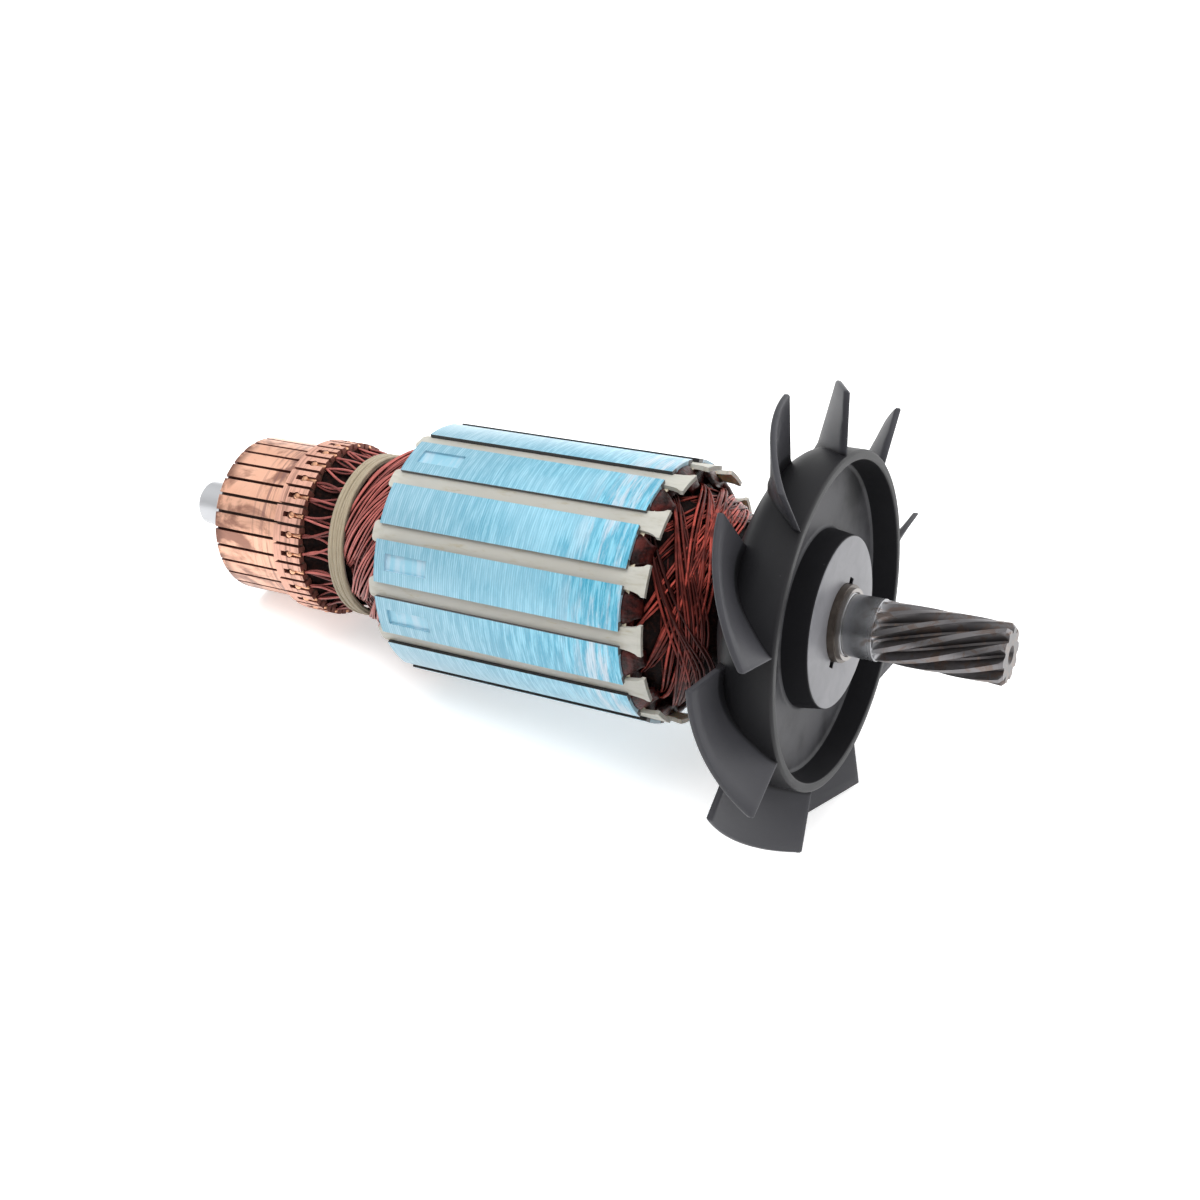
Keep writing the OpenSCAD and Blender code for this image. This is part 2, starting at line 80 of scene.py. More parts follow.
def shaft_frame():
    """Matrix from millimetres in the shaft's frame to metres in the row's frame."""
    seat = mount("front_bearing_seat")
    point = Vector(seat["pos_m"])
    along = Vector(seat["axis"]).normalized()
    heights = [(v.co - point).dot(along) for v in nodes["lamination_stack"].data.vertices]
    centre = point + along * (min(heights) + max(heights)) / 2
    bar = mesh_centre("commutator_bar_01") - centre
    first = (bar - along * bar.dot(along)).normalized()
    second = along.cross(first)
    turn = Matrix((first, second, along)).transposed().to_4x4()
    return Matrix.Translation(centre) @ turn @ Matrix.Scale(MM, 4)


SHAFT = shaft_frame()
TO_SHAFT = SHAFT.inverted()


def local_points(node):
    return [TO_SHAFT @ v.co for v in nodes[node].data.vertices]


def span(node):
    """Lowest and highest place of a CAD node along the shaft."""
    heights = [p.z for p in local_points(node)]
    return min(heights), max(heights)


def reach(node):
    """Largest distance of a CAD node from the shaft's axis."""
    return max(math.hypot(p.x, p.y) for p in local_points(node))


CORE_REAR, CORE_FRONT = span("lamination_stack")
CORE_R = reach("lamination_stack")
SLEEVE_R = reach("shaft_sleeve")
COIL_REAR = span("rear_end_insulator")[0]
COIL_FRONT = span("front_end_insulator")[1]
INSULATOR_R = reach("front_end_insulator")
WEDGE_R = reach("slot_wedge_01")
WEDGE_T = 0.9
FRONT_HEAD_END = span("front_winding_head")[1]
FRONT_HEAD_R = reach("front_winding_head")
REAR_HEAD_R = reach("rear_winding_head")
BAND_REAR, BAND_FRONT = span("lacing_band")
BAND_R = reach("lacing_band")
RISER_FRONT = span("commutator_bar_01")[1]
BAR_REAR = span("commutator_bar_01")[0]
RISER_R = reach("commutator_bar_01")
FAN_REAR, FAN_FRONT = span("fan")
FAN_R = reach("fan")
BUSH_R = reach("fan_bush")
SPACER_FRONT = span("spacer_ring")[1]
SHAFT_REAR, SHAFT_FRONT = span("shaft")
SEAT_R = mount("front_bearing_seat")["dims"]["r_mm"]
SEAT_LEN = mount("front_bearing_seat")["dims"]["length_mm"]
REAR_SEAT_R = mount("rear_bearing_seat")["dims"]["r_mm"]
SHOULDER_H = reach("shaft") - SEAT_R
PINION_REAR = SPACER_FRONT + SEAT_LEN
PINION_R = 5.85
NECK_R = 16.8
BOWL_R = 33.1
SHEET_T = 0.515
WIRE_R = 0.28


# ---- Mesh helpers ----

def polar(r, angle, z):
    return Vector((r * math.cos(angle), r * math.sin(angle), z))


def mix(a, b, t):
    return a + (b - a) * t


def smooth(t):
    t = min(1, max(0, t))
    return t * t * (3 - 2 * t)


class Form:
    """Points and faces of one piece, in millimetres in the shaft's frame.

    Each point has a tone from 0 to 1, set low on buried wires as painted depth shade, which the wires'
    material reads.
    """

    def __init__(self):
        self.points = []
        self.faces = []
        self.tones_and_depth_shade = []

    def grid(self, rows, round_stack=False, caps=False, tone=0.5):
        """Quads between closed rows of points. The stack of rows may close on itself, or end in caps."""
        start = len(self.points)
        width = len(rows[0])
        for row in rows:
            self.points.extend(row)
            self.tones_and_depth_shade.extend([tone] * width)
        last = len(rows) if round_stack else len(rows) - 1
        for j in range(last):
            k = (j + 1) % len(rows)
            for i in range(width):
                n = (i + 1) % width
                self.faces.append((
                    start + j * width + i,
                    start + j * width + n,
                    start + k * width + n,
                    start + k * width + i,
                ))
        if caps:
            self.faces.append([start + i for i in reversed(range(width))])
            self.faces.append([start + (len(rows) - 1) * width + i for i in range(width)])

    def lathe(self, outline, steps, closed=True):
        """Turns an outline of (radius, height) points round the shaft."""
        rows = [[polar(r, math.tau * i / steps, z) for i in range(steps)] for r, z in outline]
        self.grid(rows, round_stack=closed)

    def tube(self, path, radius, sides, tone=0.5):
        """Round wire along a path, with its ends closed."""
        rows = []
        side = None
        for i, point in enumerate(path):
            way = (path[min(i + 1, len(path) - 1)] - path[max(i - 1, 0)]).normalized()
            if side is None:
                side = way.orthogonal().normalized()
            side = (side - way * side.dot(way)).normalized()
            other = way.cross(side)
            rows.append([
                point + (side * math.cos(a) + other * math.sin(a)) * radius
                for a in (math.tau * k / sides for k in range(sides))
            ])
        self.grid(rows, caps=True, tone=tone)

    def ball(self, centre, radius, flatten):
        """Ball, flattened along the direction away from the shaft, with a small flat at each pole."""
        rings = 8
        sides = 12
        pole = 0.04
        out = Vector((centre.x, centre.y, 0)).normalized()
        side = out.cross(Vector((0, 0, 1)))
        rows = []
        for j in range(rings + 1):
            w = math.pi * (pole + (1 - 2 * pole) * j / rings)
            rows.append([
                centre + out * (math.cos(w) * radius * flatten)
                + (side * math.cos(a) + Vector((0, 0, 1)) * math.sin(a)) * (math.sin(w) * radius)
                for a in (math.tau * k / sides for k in range(sides))
            ])
        self.grid(rows, caps=True)


def rounded(corners, radii, steps):
    """Outline through corners, each rounded with its own radius."""
    outline = []
    count = len(corners)
    for i, (corner, radius) in enumerate(zip(corners, radii)):
        b = Vector(corner)
        if radius <= 0:
            outline.append((b.x, b.y))
            continue
        u = (Vector(corners[i - 1]) - b).normalized()
        v = (Vector(corners[(i + 1) % count]) - b).normalized()
        half = u.angle(v) / 2
        centre = b + (u + v).normalized() * radius / math.sin(half)
        p = b + u * radius / math.tan(half) - centre
        q = b + v * radius / math.tan(half) - centre
        for k in range(steps + 1):
            w = p.lerp(q, k / steps).normalized() * radius
            outline.append((centre.x + w.x, centre.y + w.y))
    return outline


def form_mesh(name, form):
    mesh = bpy.data.meshes.new(name)
    mesh.from_pydata([SHAFT @ p for p in form.points], [], form.faces)
    return mesh


def make_piece(name, form, slot, replaced=(), material=None):
    """Visible piece from a form. It rides on the part's one body and may stand in for CAD nodes."""
    mesh = form_mesh(name, form)
    tone = mesh.attributes.new("tone", "FLOAT", "POINT")
    tone.data.foreach_set("value", form.tones_and_depth_shade)
    mesh.materials.append(material or MATERIALS[slot])
    mesh.validate()
    mesh.polygons.foreach_set("use_smooth", [True] * len(mesh.polygons))
    piece = bpy.data.objects.new(name, mesh)
    bpy.context.scene.collection.objects.link(piece)
    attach(piece, "root")
    if replaced:
        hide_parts(*replaced)
    return piece


def apply_modifiers(piece):
    """Keeps the modified mesh and drops the modifiers."""
    graph = bpy.context.evaluated_depsgraph_get()
    mesh = bpy.data.meshes.new_from_object(piece.evaluated_get(graph))
    piece.modifiers.clear()
    piece.data = mesh


def bevel(piece, width, segments, angle):
    modifier = piece.modifiers.new("bevel", "BEVEL")
    modifier.width = width * MM
    modifier.segments = segments
    modifier.limit_method = "ANGLE"
    modifier.angle_limit = math.radians(angle)
    apply_modifiers(piece)


def sharpen(piece, angle):
    """Smooth shading that keeps edges sharper than the angle."""
    piece.data.set_sharp_from_angle(angle=math.radians(angle))


# ---- Material helpers ----

class Nodes:
    """Short calls for building a node tree."""

    def __init__(self, tree):
        self.tree = tree

    def add(self, kind, **settings):
        node = self.tree.nodes.new(kind)
        for key, value in settings.items():
            setattr(node, key, value)
        return node

    def feed(self, socket, value):
        if isinstance(value, bpy.types.NodeSocket):
            self.tree.links.new(value, socket)
        else:
            socket.default_value = value

    def math(self, operation, a, b=0.0):
        node = self.add("ShaderNodeMath", operation=operation)
        self.feed(node.inputs[0], a)
        self.feed(node.inputs[1], b)
        return node.outputs[0]

    def between(self, value, low, high):
        """1 from low to high, 0 outside."""
        above = self.math("GREATER_THAN", value, low)
        return self.share(above, self.math("LESS_THAN", value, high))

    def share(self, value, amount):
        """A value times a number or another value."""
        return self.math("MULTIPLY", value, amount)

    def inverse(self, value):
        return self.math("SUBTRACT", 1.0, value)

    def ramp(self, value, low, high, dim=0.0, bright=1.0):
        """Dim below low, bright above high, smooth between them."""
        node = self.add("ShaderNodeMapRange", interpolation_type="SMOOTHSTEP")
        self.feed(node.inputs["Value"], value)
        node.inputs["From Min"].default_value = low
        node.inputs["From Max"].default_value = high
        node.inputs["To Min"].default_value = dim
        node.inputs["To Max"].default_value = bright
        return node.outputs["Result"]

    def mix(self, factor, a, b):
        """Colour a where the factor is 0 and b where it is 1."""
        node = self.add("ShaderNodeMix", data_type="RGBA")
        self.feed(node.inputs[0], factor)
        self.feed(node.inputs[6], (*a, 1) if isinstance(a, tuple) else a)
        self.feed(node.inputs[7], (*b, 1) if isinstance(b, tuple) else b)
        return node.outputs[2]

    def noise(self, vector, spread, detail, rough=0.55, distort=0.0):
        """Noise over a vector, finer along each axis where the spread's number is larger."""
        node = self.add("ShaderNodeTexNoise")
        self.feed(node.inputs["Vector"], self.stretch(vector, spread))
        node.inputs["Scale"].default_value = 1.0
        node.inputs["Detail"].default_value = detail
        node.inputs["Roughness"].default_value = rough
        node.inputs["Distortion"].default_value = distort
        return node.outputs["Fac"]

    def stretch(self, vector, spread):
        node = self.add("ShaderNodeVectorMath", operation="MULTIPLY")
        self.feed(node.inputs[0], vector)
        node.inputs[1].default_value = spread
        return node.outputs[0]

    def dot(self, vector, axis):
        node = self.add("ShaderNodeVectorMath", operation="DOT_PRODUCT")
        self.feed(node.inputs[0], vector)
        node.inputs[1].default_value = axis
        return node.outputs["Value"]

    def join(self, x, y, z):
        node = self.add("ShaderNodeCombineXYZ")
        for socket, value in zip(node.inputs, (x, y, z)):
            self.feed(socket, value)
        return node.outputs[0]


class Material(Nodes):
    """Nodes of one material round its Principled shader."""

    def __init__(self, name):
        self.material = bpy.data.materials.new(name)
        self.material.use_nodes = True
        super().__init__(self.material.node_tree)
        self.shader = self.tree.nodes["Principled BSDF"]

    def shaft_place(self):
        """Sets what the material reads of a point's place in the shaft's frame, in millimetres.

        place is the point, z its height, radius its distance from the axis, angle its turn, and rolled
        a vector whose noise runs round the shaft in lines.
        """
        point = self.add("ShaderNodeTexCoord").outputs["Object"]
        x, y, z = (self.math("ADD", self.dot(point, TO_SHAFT[i][:3]), TO_SHAFT[i][3]) for i in range(3))
        self.place = self.join(x, y, z)
        self.z = z
        squares = self.math("ADD", self.math("POWER", x, 2.0), self.math("POWER", y, 2.0))
        self.radius = self.math("SQRT", squares)
        self.angle = self.math("ARCTAN2", y, x)
        self.rolled = self.join(self.math("COSINE", self.angle), self.math("SINE", self.angle), z)

    def facing_out(self):
        """1 where the surface faces away from the shaft, 0 where it lies across."""
        normal = self.add("ShaderNodeNewGeometry").outputs["True Normal"]
        x, y = (self.dot(normal, Vector(TO_SHAFT[i][:3]).normalized()) for i in range(2))
        across = self.math("MULTIPLY", x, self.math("COSINE", self.angle))
        return self.math("ADD", across, self.math("MULTIPLY", y, self.math("SINE", self.angle)))

    def bump(self, height, strength, distance):
        node = self.add("ShaderNodeBump")
        node.inputs["Strength"].default_value = strength
        node.inputs["Distance"].default_value = distance * MM
        self.feed(node.inputs["Height"], height)
        return node.outputs["Normal"]

    def crevice(self, distance):
        """1 in the open, falling to 0 deep between neighbours."""
        shade = self.add("ShaderNodeAmbientOcclusion", samples=6)
        shade.inputs["Distance"].default_value = distance * MM
        return self.ramp(shade.outputs["AO"], 0.3, 0.8)

    def finish(self, color, roughness, metallic=0.0, normal=None, **extra):
        """Feeds the shader. An extra such as Sheen_Weight is set on the socket of that name."""
        self.feed(self.shader.inputs["Base Color"], (*color, 1) if isinstance(color, tuple) else color)
        self.feed(self.shader.inputs["Roughness"], roughness)
        self.feed(self.shader.inputs["Metallic"], metallic)
        if normal is not None:
            self.feed(self.shader.inputs["Normal"], normal)
        for key, value in extra.items():
            self.shader.inputs[key.replace("_", " ")].default_value = value
        return self.material


# ---- Materials ----

def lamination_material():
    """Pale blue paint brushed over the sheets' edges, scuffed near the front and ground off in pockets. The
    teeth's sides at the slots are painted near black as painted shade.
    """
    m = Material("lamination_steel")
    m.shaft_place()
    pocket_step = 0.2
    tooth_middle = 2.6
    scuffs_from, scuffs_full = CORE_FRONT - 16.0, CORE_FRONT - 3.0
    streak = m.noise(m.rolled, (4.0, 4.0, 1.8), 7.0, 0.68)
    fine = m.noise(m.rolled, (11.0, 11.0, 7.0), 4.0, 0.7)
    cloud = m.noise(m.place, (0.06, 0.06, 0.045), 3.0, 0.5)
    scuff = m.noise(m.rolled, (1.3, 1.3, 0.35), 6.0, 0.7)
    forward = m.ramp(m.z, CORE_REAR, CORE_FRONT)
    pale = m.mix(forward, (0.28, 0.48, 0.58), (0.20, 0.55, 0.70))
    deep = m.mix(forward, (0.18, 0.38, 0.48), (0.03, 0.30, 0.45))
    paint = m.mix(m.ramp(streak, 0.38, 0.58), pale, deep)
    paint = m.mix(m.share(m.ramp(cloud, 0.45, 0.68), 0.45), paint, (0.33, 0.56, 0.67))
    paint = m.mix(m.share(m.ramp(fine, 0.52, 0.72), 0.22), paint, (0.55, 0.66, 0.70))
    front_end = m.share(m.ramp(m.z, scuffs_from, scuffs_full), 0.8)
    paint = m.mix(m.share(m.ramp(scuff, 0.44, 0.6), front_end), paint, (0.58, 0.61, 0.66))
    sheet = m.math("FRACT", m.math("DIVIDE", m.z, SHEET_T))
    seam = m.ramp(m.math("ABSOLUTE", m.math("SUBTRACT", sheet, 0.5)), 0.3, 0.5)
    seam_share = m.math("SUBTRACT", 0.6, m.share(forward, 0.3))
    paint = m.mix(m.share(seam, seam_share), paint, (0.06, 0.20, 0.29))
    steel = m.mix(m.ramp(scuff, 0.42, 0.6), (0.24, 0.49, 0.61), (0.38, 0.55, 0.65))
    in_pocket = m.math("LESS_THAN", m.radius, CORE_R - pocket_step)
    skin = m.mix(in_pocket, paint, steel)
    # Painted shade: faces that lie across are painted near black, fully on the teeth's sides at the slots
    # and faintly elsewhere. Distance round the tooth from its middle picks out the sides at the slots.
    turn = m.math("DIVIDE", m.angle, SLOT_PITCH)
    from_middle = m.math("ABSOLUTE", m.math("SUBTRACT", turn, m.math("ROUND", turn)))
    at_slot = m.math("GREATER_THAN", m.share(from_middle, SLOT_PITCH * CORE_R), tooth_middle)
    lies_across = m.inverse(m.ramp(m.facing_out(), 0.55, 0.8))
    painted_shade = m.share(lies_across, m.math("ADD", 0.04, m.share(at_slot, 0.96)))
    color = m.mix(painted_shade, skin, (0.012, 0.012, 0.014))
    height = m.math("ADD", m.share(seam, -1.0), m.share(fine, 0.5))
    rough = m.math("ADD", 0.34, m.share(streak, 0.2))
    # A coat and a sheen let the paint shine nearly white at a low angle
    return m.finish(color, rough, 0.2, m.bump(height, 0.35, 0.05), Coat_Weight=0.35,
                    Coat_Roughness=0.25, Sheen_Weight=0.45, Sheen_Roughness=0.4)


def wedge_material():
    m = Material("wedge_plastic")
    m.shaft_place()
    cloud = m.noise(m.place, (0.25, 0.25, 0.08), 4.0)
    stain = m.noise(m.place, (0.8, 0.8, 0.2), 5.0, 0.7)
    grain = m.noise(m.place, (3.0, 3.0, 0.6), 3.0)
    color = m.mix(cloud, (0.42, 0.41, 0.38), (0.34, 0.32, 0.275))
    color = m.mix(m.share(m.ramp(stain, 0.52, 0.75), 0.6), color, (0.30, 0.25, 0.15))
    ends = m.ramp(m.math("ABSOLUTE", m.z), CORE_FRONT - 6.0, CORE_FRONT + 1.5)
    color = m.mix(m.share(ends, m.math("SUBTRACT", 0.75, stain)), color, (0.60, 0.585, 0.51))
    return m.finish(color, 0.48, 0.0, m.bump(grain, 0.15, 0.05), Subsurface_Weight=0.05)


def insulation_material():
    m = Material("insulation")
    m.shaft_place()
    cloud = m.noise(m.place, (0.5, 0.5, 0.5), 5.0, 0.6)
    lumps = m.noise(m.place, (1.6, 1.6, 1.6), 3.0)
    color = m.mix(m.ramp(cloud, 0.35, 0.7), (0.010, 0.003, 0.003), (0.085, 0.013, 0.010))
    rough = m.math("ADD", 0.18, m.share(cloud, 0.3))
    return m.finish(color, rough, 0.0, m.bump(lumps, 0.5, 0.35), Specular_IOR_Level=0.3)


def wire_material():
    """Red enamel under varnish, each wire in its own tone, with painted depth shade on the lower layers,
    and painted shade, darker and less glossy, deep between the wires.
    """
    m = Material("enamelled_wire")
    m.shaft_place()
    # The tone attribute also carries painted depth shade from the windings' lower layers
    tone = m.add("ShaderNodeAttribute", attribute_name="tone").outputs["Fac"]
    cloud = m.noise(m.place, (0.35, 0.35, 0.35), 4.0)
    grime = m.noise(m.place, (2.0, 2.0, 2.0), 3.0)
    rear = m.math("LESS_THAN", m.z, 0.0)
    front = m.math("GREATER_THAN", m.z, 0.0)
    front_red = m.mix(tone, (0.030, 0.005, 0.004), (0.52, 0.085, 0.062))
    rear_red = m.mix(tone, (0.08, 0.010, 0.009), (0.50, 0.14, 0.12))
    red = m.mix(rear, front_red, rear_red)
    varnish_share = m.math("SUBTRACT", 0.7, m.share(rear, 0.45))
    color = m.mix(m.share(m.ramp(cloud, 0.42, 0.6), varnish_share), red, (0.035, 0.006, 0.005))
    # Painted shade: an occlusion node darkens the colour and lowers the gloss deep between the wires
    open_share = m.crevice(3.0)
    color = m.mix(open_share, (0.006, 0.001, 0.001), color)
    gloss = m.share(open_share, m.math("SUBTRACT", 0.42, m.share(front, 0.2)))
    m.feed(m.shader.inputs["Specular IOR Level"], gloss)
    rough = m.math("ADD", 0.26, m.share(cloud, 0.2))
    return m.finish(color, rough, 0.0, m.bump(grime, 0.15, 0.06))


def varnish_material():
    m = Material("varnish")
    m.shaft_place()
    lumps = m.noise(m.place, (1.2, 1.2, 1.2), 4.0, 0.6)
    color = m.mix(m.ramp(lumps, 0.4, 0.75), (0.005, 0.003, 0.003), (0.022, 0.008, 0.006))
    rough = m.math("ADD", 0.25, m.share(lumps, 0.35))
    return m.finish(color, rough, 0.0, m.bump(lumps, 0.5, 0.4), Specular_IOR_Level=0.04)


def cord_material():
    m = Material("lacing_cord")
    m.shaft_place()
    strand = m.noise(m.rolled, (6.0, 6.0, 2.2), 5.0, 0.65, 0.4)
    fuzz = m.noise(m.place, (4.0, 4.0, 4.0), 4.0, 0.7)
    color = m.mix(strand, (0.24, 0.19, 0.12), (0.42, 0.36, 0.26))
    color = m.mix(m.share(m.ramp(fuzz, 0.5, 0.75), 0.35), color, (0.22, 0.15, 0.09))
    height = m.math("ADD", strand, m.share(fuzz, 0.5))
    return m.finish(color, 0.62, 0.0, m.bump(height, 0.8, 0.25), Sheen_Weight=0.2)


def copper_material():
    """Turned copper with brown patches, worn before the risers, dull on the risers, with painted shade dark
    on the bars' sides in the gaps.
    """
    m = Material("bar_copper")
    m.shaft_place()
    turned = m.noise(m.rolled, (1.2, 1.2, 5.0), 5.0, 0.65)
    patch = m.noise(m.place, (0.10, 0.10, 0.08), 5.0, 0.6, 0.5)
    bloom = m.noise(m.place, (0.3, 0.3, 0.25), 4.0, 0.6)
    arc = m.noise(m.rolled, (0.9, 0.9, 1.1), 6.0, 0.7)
    color = m.mix(bloom, (0.82, 0.42, 0.28), (0.86, 0.53, 0.39))
    color = m.mix(m.share(m.ramp(turned, 0.45, 0.75), 0.25), color, (0.66, 0.34, 0.23))
    color = m.mix(m.share(m.ramp(patch, 0.47, 0.6), 0.85), color, (0.24, 0.105, 0.075))
    worn_from = m.ramp(m.z, RISER_FRONT - 16.5, RISER_FRONT - 12.0)
    worn_to = m.inverse(m.ramp(m.z, RISER_FRONT - 10.0, RISER_FRONT - 8.0))
    worn = m.share(m.share(worn_from, worn_to), m.ramp(arc, 0.46, 0.6))
    color = m.mix(m.share(worn, 0.7), color, (0.24, 0.12, 0.11))
    rear_edge = m.inverse(m.ramp(m.z, BAR_REAR, BAR_REAR + 4.0))
    color = m.mix(m.share(rear_edge, m.ramp(bloom, 0.42, 0.56)), color, (0.16, 0.07, 0.05))
    riser = m.ramp(m.z, RISER_FRONT - 7.2, RISER_FRONT - 6.8)
    dull = m.mix(m.ramp(arc, 0.3, 0.55), (0.26, 0.13, 0.10), (0.74, 0.41, 0.31))
    color = m.mix(riser, color, dull)
    # Painted shade: the sides of the bars, seen in the gaps, are painted dark
    side = m.inverse(m.ramp(m.facing_out(), 0.3, 0.7))
    color = m.mix(m.share(side, 0.85), color, (0.13, 0.028, 0.022))
    rough = m.math("ADD", 0.28, m.share(m.math("ADD", patch, riser), 0.14))
    return m.finish(color, rough, 0.45, m.bump(turned, 0.2, 0.04))


def moulding_material():
    m = Material("moulding")
    m.shaft_place()
    grain = m.noise(m.place, (2.0, 2.0, 2.0), 5.0, 0.7)
    color = m.mix(grain, (0.025, 0.010, 0.008), (0.10, 0.045, 0.030))
    return m.finish(color, 0.55, 0.0, m.bump(grain, 0.3, 0.1))


def fan_material():
    """Black plastic with dust and paler worn edges. The blades and the trough's floor are painted lighter
    than the body as painted light, the trough's walls get little gloss as painted shade, and the boss's
    front face is painted grey as a painted reflection.
    """
    m = Material("fan_plastic")
    m.shaft_place()
    cloud = m.noise(m.place, (0.06, 0.06, 0.06), 4.0, 0.55)
    grain = m.noise(m.place, (3.5, 3.5, 3.5), 3.0, 0.6)
    dust = m.noise(m.place, (1.1, 1.1, 1.1), 6.0, 0.8)
    swirl = m.noise(m.place, (0.25, 0.25, 0.25), 3.0, 0.5, 0.6)
    edge = m.add("ShaderNodeBevel", samples=6)
    edge.inputs["Radius"].default_value = 0.5 * MM
    turn = m.add("ShaderNodeVectorMath", operation="DOT_PRODUCT")
    m.feed(turn.inputs[0], edge.outputs["Normal"])
    m.feed(turn.inputs[1], m.add("ShaderNodeNewGeometry").outputs["Normal"])
    wear = m.ramp(m.inverse(turn.outputs["Value"]), 0.01, 0.12)
    # Painted light: the blades beyond the bowl get a lighter colour than the body
    bowl = m.mix(cloud, (0.007, 0.007, 0.008), (0.016, 0.016, 0.018))
    blade = m.mix(cloud, (0.030, 0.030, 0.034), (0.048, 0.048, 0.055))
    color = m.mix(m.ramp(m.radius, BOWL_R, BOWL_R + 1.0), bowl, blade)
    # Painted highlight: the trough's floor is painted lighter in patches
    at_floor = m.between(m.z, FAN_FRONT - 6.0, FAN_FRONT - 5.0)
    on_floor = m.share(at_floor, m.math("LESS_THAN", m.radius, BOWL_R - 2.4))
    color = m.mix(m.share(on_floor, m.ramp(cloud, 0.35, 0.6)), color, (0.055, 0.055, 0.060))
    color = m.mix(m.share(m.ramp(dust, 0.66, 0.72), 0.3), color, (0.20, 0.20, 0.21))
    color = m.mix(m.share(wear, 0.5), color, (0.14, 0.14, 0.15))
    # Painted reflection: the boss's front face is painted grey, and it is smoother
    at_front = m.math("GREATER_THAN", m.z, FAN_FRONT - 0.1)
    boss_face = m.share(at_front, m.math("LESS_THAN", m.radius, 17.2))
    boss_reflection_share = m.share(boss_face, m.math("ADD", 0.6, m.share(swirl, 0.4)))
    color = m.mix(boss_reflection_share, color, (0.20, 0.20, 0.215))
    # Painted shade: the trough's walls get almost no gloss
    in_trough = m.between(m.z, FAN_FRONT - 5.0, FAN_FRONT - 0.2)
    walls = m.share(in_trough, m.math("LESS_THAN", m.radius, BOWL_R - 1.2))
    gloss = m.math("SUBTRACT", 0.24, m.share(walls, 0.2))
    m.feed(m.shader.inputs["Specular IOR Level"], gloss)
    rough = m.math("SUBTRACT", m.math("ADD", 0.38, m.share(cloud, 0.2)), m.share(boss_face, 0.12))
    return m.finish(color, rough, 0.0, m.bump(grain, 0.12, 0.05))


def bush_material():
    m = Material("bush_metal")
    m.shaft_place()
    turned = m.noise(m.rolled, (1.0, 1.0, 8.0), 4.0, 0.6)
    cloud = m.noise(m.place, (0.6, 0.6, 0.6), 4.0)
    color = m.mix(cloud, (0.045, 0.036, 0.030), (0.12, 0.10, 0.085))
    return m.finish(color, 0.38, 0.8, m.bump(turned, 0.3, 0.05))


def spacer_material():
    m = Material("spacer_steel")
    m.shaft_place()
    turned = m.noise(m.rolled, (1.0, 1.0, 8.0), 4.0, 0.6)
    color = m.mix(turned, (0.16, 0.145, 0.135), (0.28, 0.26, 0.245))
    return m.finish(color, 0.28, 0.95, m.bump(turned, 0.2, 0.04))


def steel_material():
    """Ground seats, a darker pinion stained towards its run-out with painted shade at its tooth roots, and
    a rear end painted paler as a painted reflection.
    """
    m = Material("ground_steel")
    m.shaft_place()
    ground = m.noise(m.rolled, (2.0, 2.0, 9.0), 5.0, 0.7)
    cloud = m.noise(m.place, (0.25, 0.25, 0.2), 4.0, 0.6, 0.5)
    stain = m.noise(m.place, (0.35, 0.35, 0.3), 5.0, 0.7, 0.8)
    bright = m.mix(ground, (0.27, 0.275, 0.29), (0.36, 0.365, 0.38))
    cut = m.mix(cloud, (0.12, 0.115, 0.12), (0.24, 0.23, 0.235))
    # Painted shade: the cut teeth are painted darker towards their roots
    root = m.inverse(m.ramp(m.radius, PINION_R - 1.5, PINION_R - 0.3))
    cut = m.mix(m.share(root, 0.7), cut, (0.05, 0.045, 0.045))
    teeth = m.ramp(m.z, PINION_REAR - 1.0, PINION_REAR + 2.0)
    color = m.mix(teeth, bright, cut)
    near = m.ramp(m.z, PINION_REAR - 5.0, PINION_REAR)
    stained = m.share(m.share(m.ramp(stain, 0.5, 0.6), near), 0.7)
    color = m.mix(stained, color, (0.15, 0.11, 0.09))
    # Painted reflection: the rear end is painted paler and made less metallic
    rear = m.ramp(m.share(m.z, -1.0), -BAR_REAR - 1.0, -BAR_REAR)
    color = m.mix(rear, color, (0.52, 0.53, 0.55))
    rough = m.math("ADD", 0.27, m.share(m.math("ADD", teeth, rear), 0.1))
    metal = m.math("SUBTRACT", 0.95, m.share(rear, 0.45))
    return m.finish(color, rough, metal, m.bump(ground, 0.06, 0.03))


def paper_material():
    m = Material("slot_paper")
    m.shaft_place()
    fibre = m.noise(m.place, (3.0, 3.0, 0.5), 4.0, 0.6)
    color = m.mix(fibre, (0.62, 0.56, 0.40), (0.78, 0.72, 0.56))
    return m.finish(color, 0.8, 0.0, m.bump(fibre, 0.3, 0.1))


def fused_material():
    m = Material("fused_copper")
    m.shaft_place()
    cloud = m.noise(m.place, (1.5, 1.5, 1.5), 4.0)
    color = m.mix(cloud, (0.62, 0.28, 0.16), (0.86, 0.50, 0.32))
    return m.finish(color, 0.3, 0.9, m.bump(cloud, 0.3, 0.1))


MATERIALS = {
    "lamination_steel": lamination_material(),
    "wedge_plastic": wedge_material(),
    "insulation": insulation_material(),
    "enamelled_wire": wire_material(),
    "varnish": varnish_material(),
    "lacing_cord": cord_material(),
    "bar_copper": copper_material(),
    "moulding": moulding_material(),
    "fan_plastic": fan_material(),
    "bush_metal": bush_material(),
    "spacer_steel": spacer_material(),
    "ground_steel": steel_material(),
    "slot_paper": paper_material(),
}


def dress(node, material):
    """Gives a CAD node its finish."""
    data = nodes[node].data
    if not data.materials:
        data.materials.append(material)
    for i in range(len(nodes[node].material_slots)):
        nodes[node].material_slots[i].material = material


for part in record["subparts"]:
    dress(part["node"], MATERIALS[part["material_slot"]])


# ---- Shaft and pinion ----

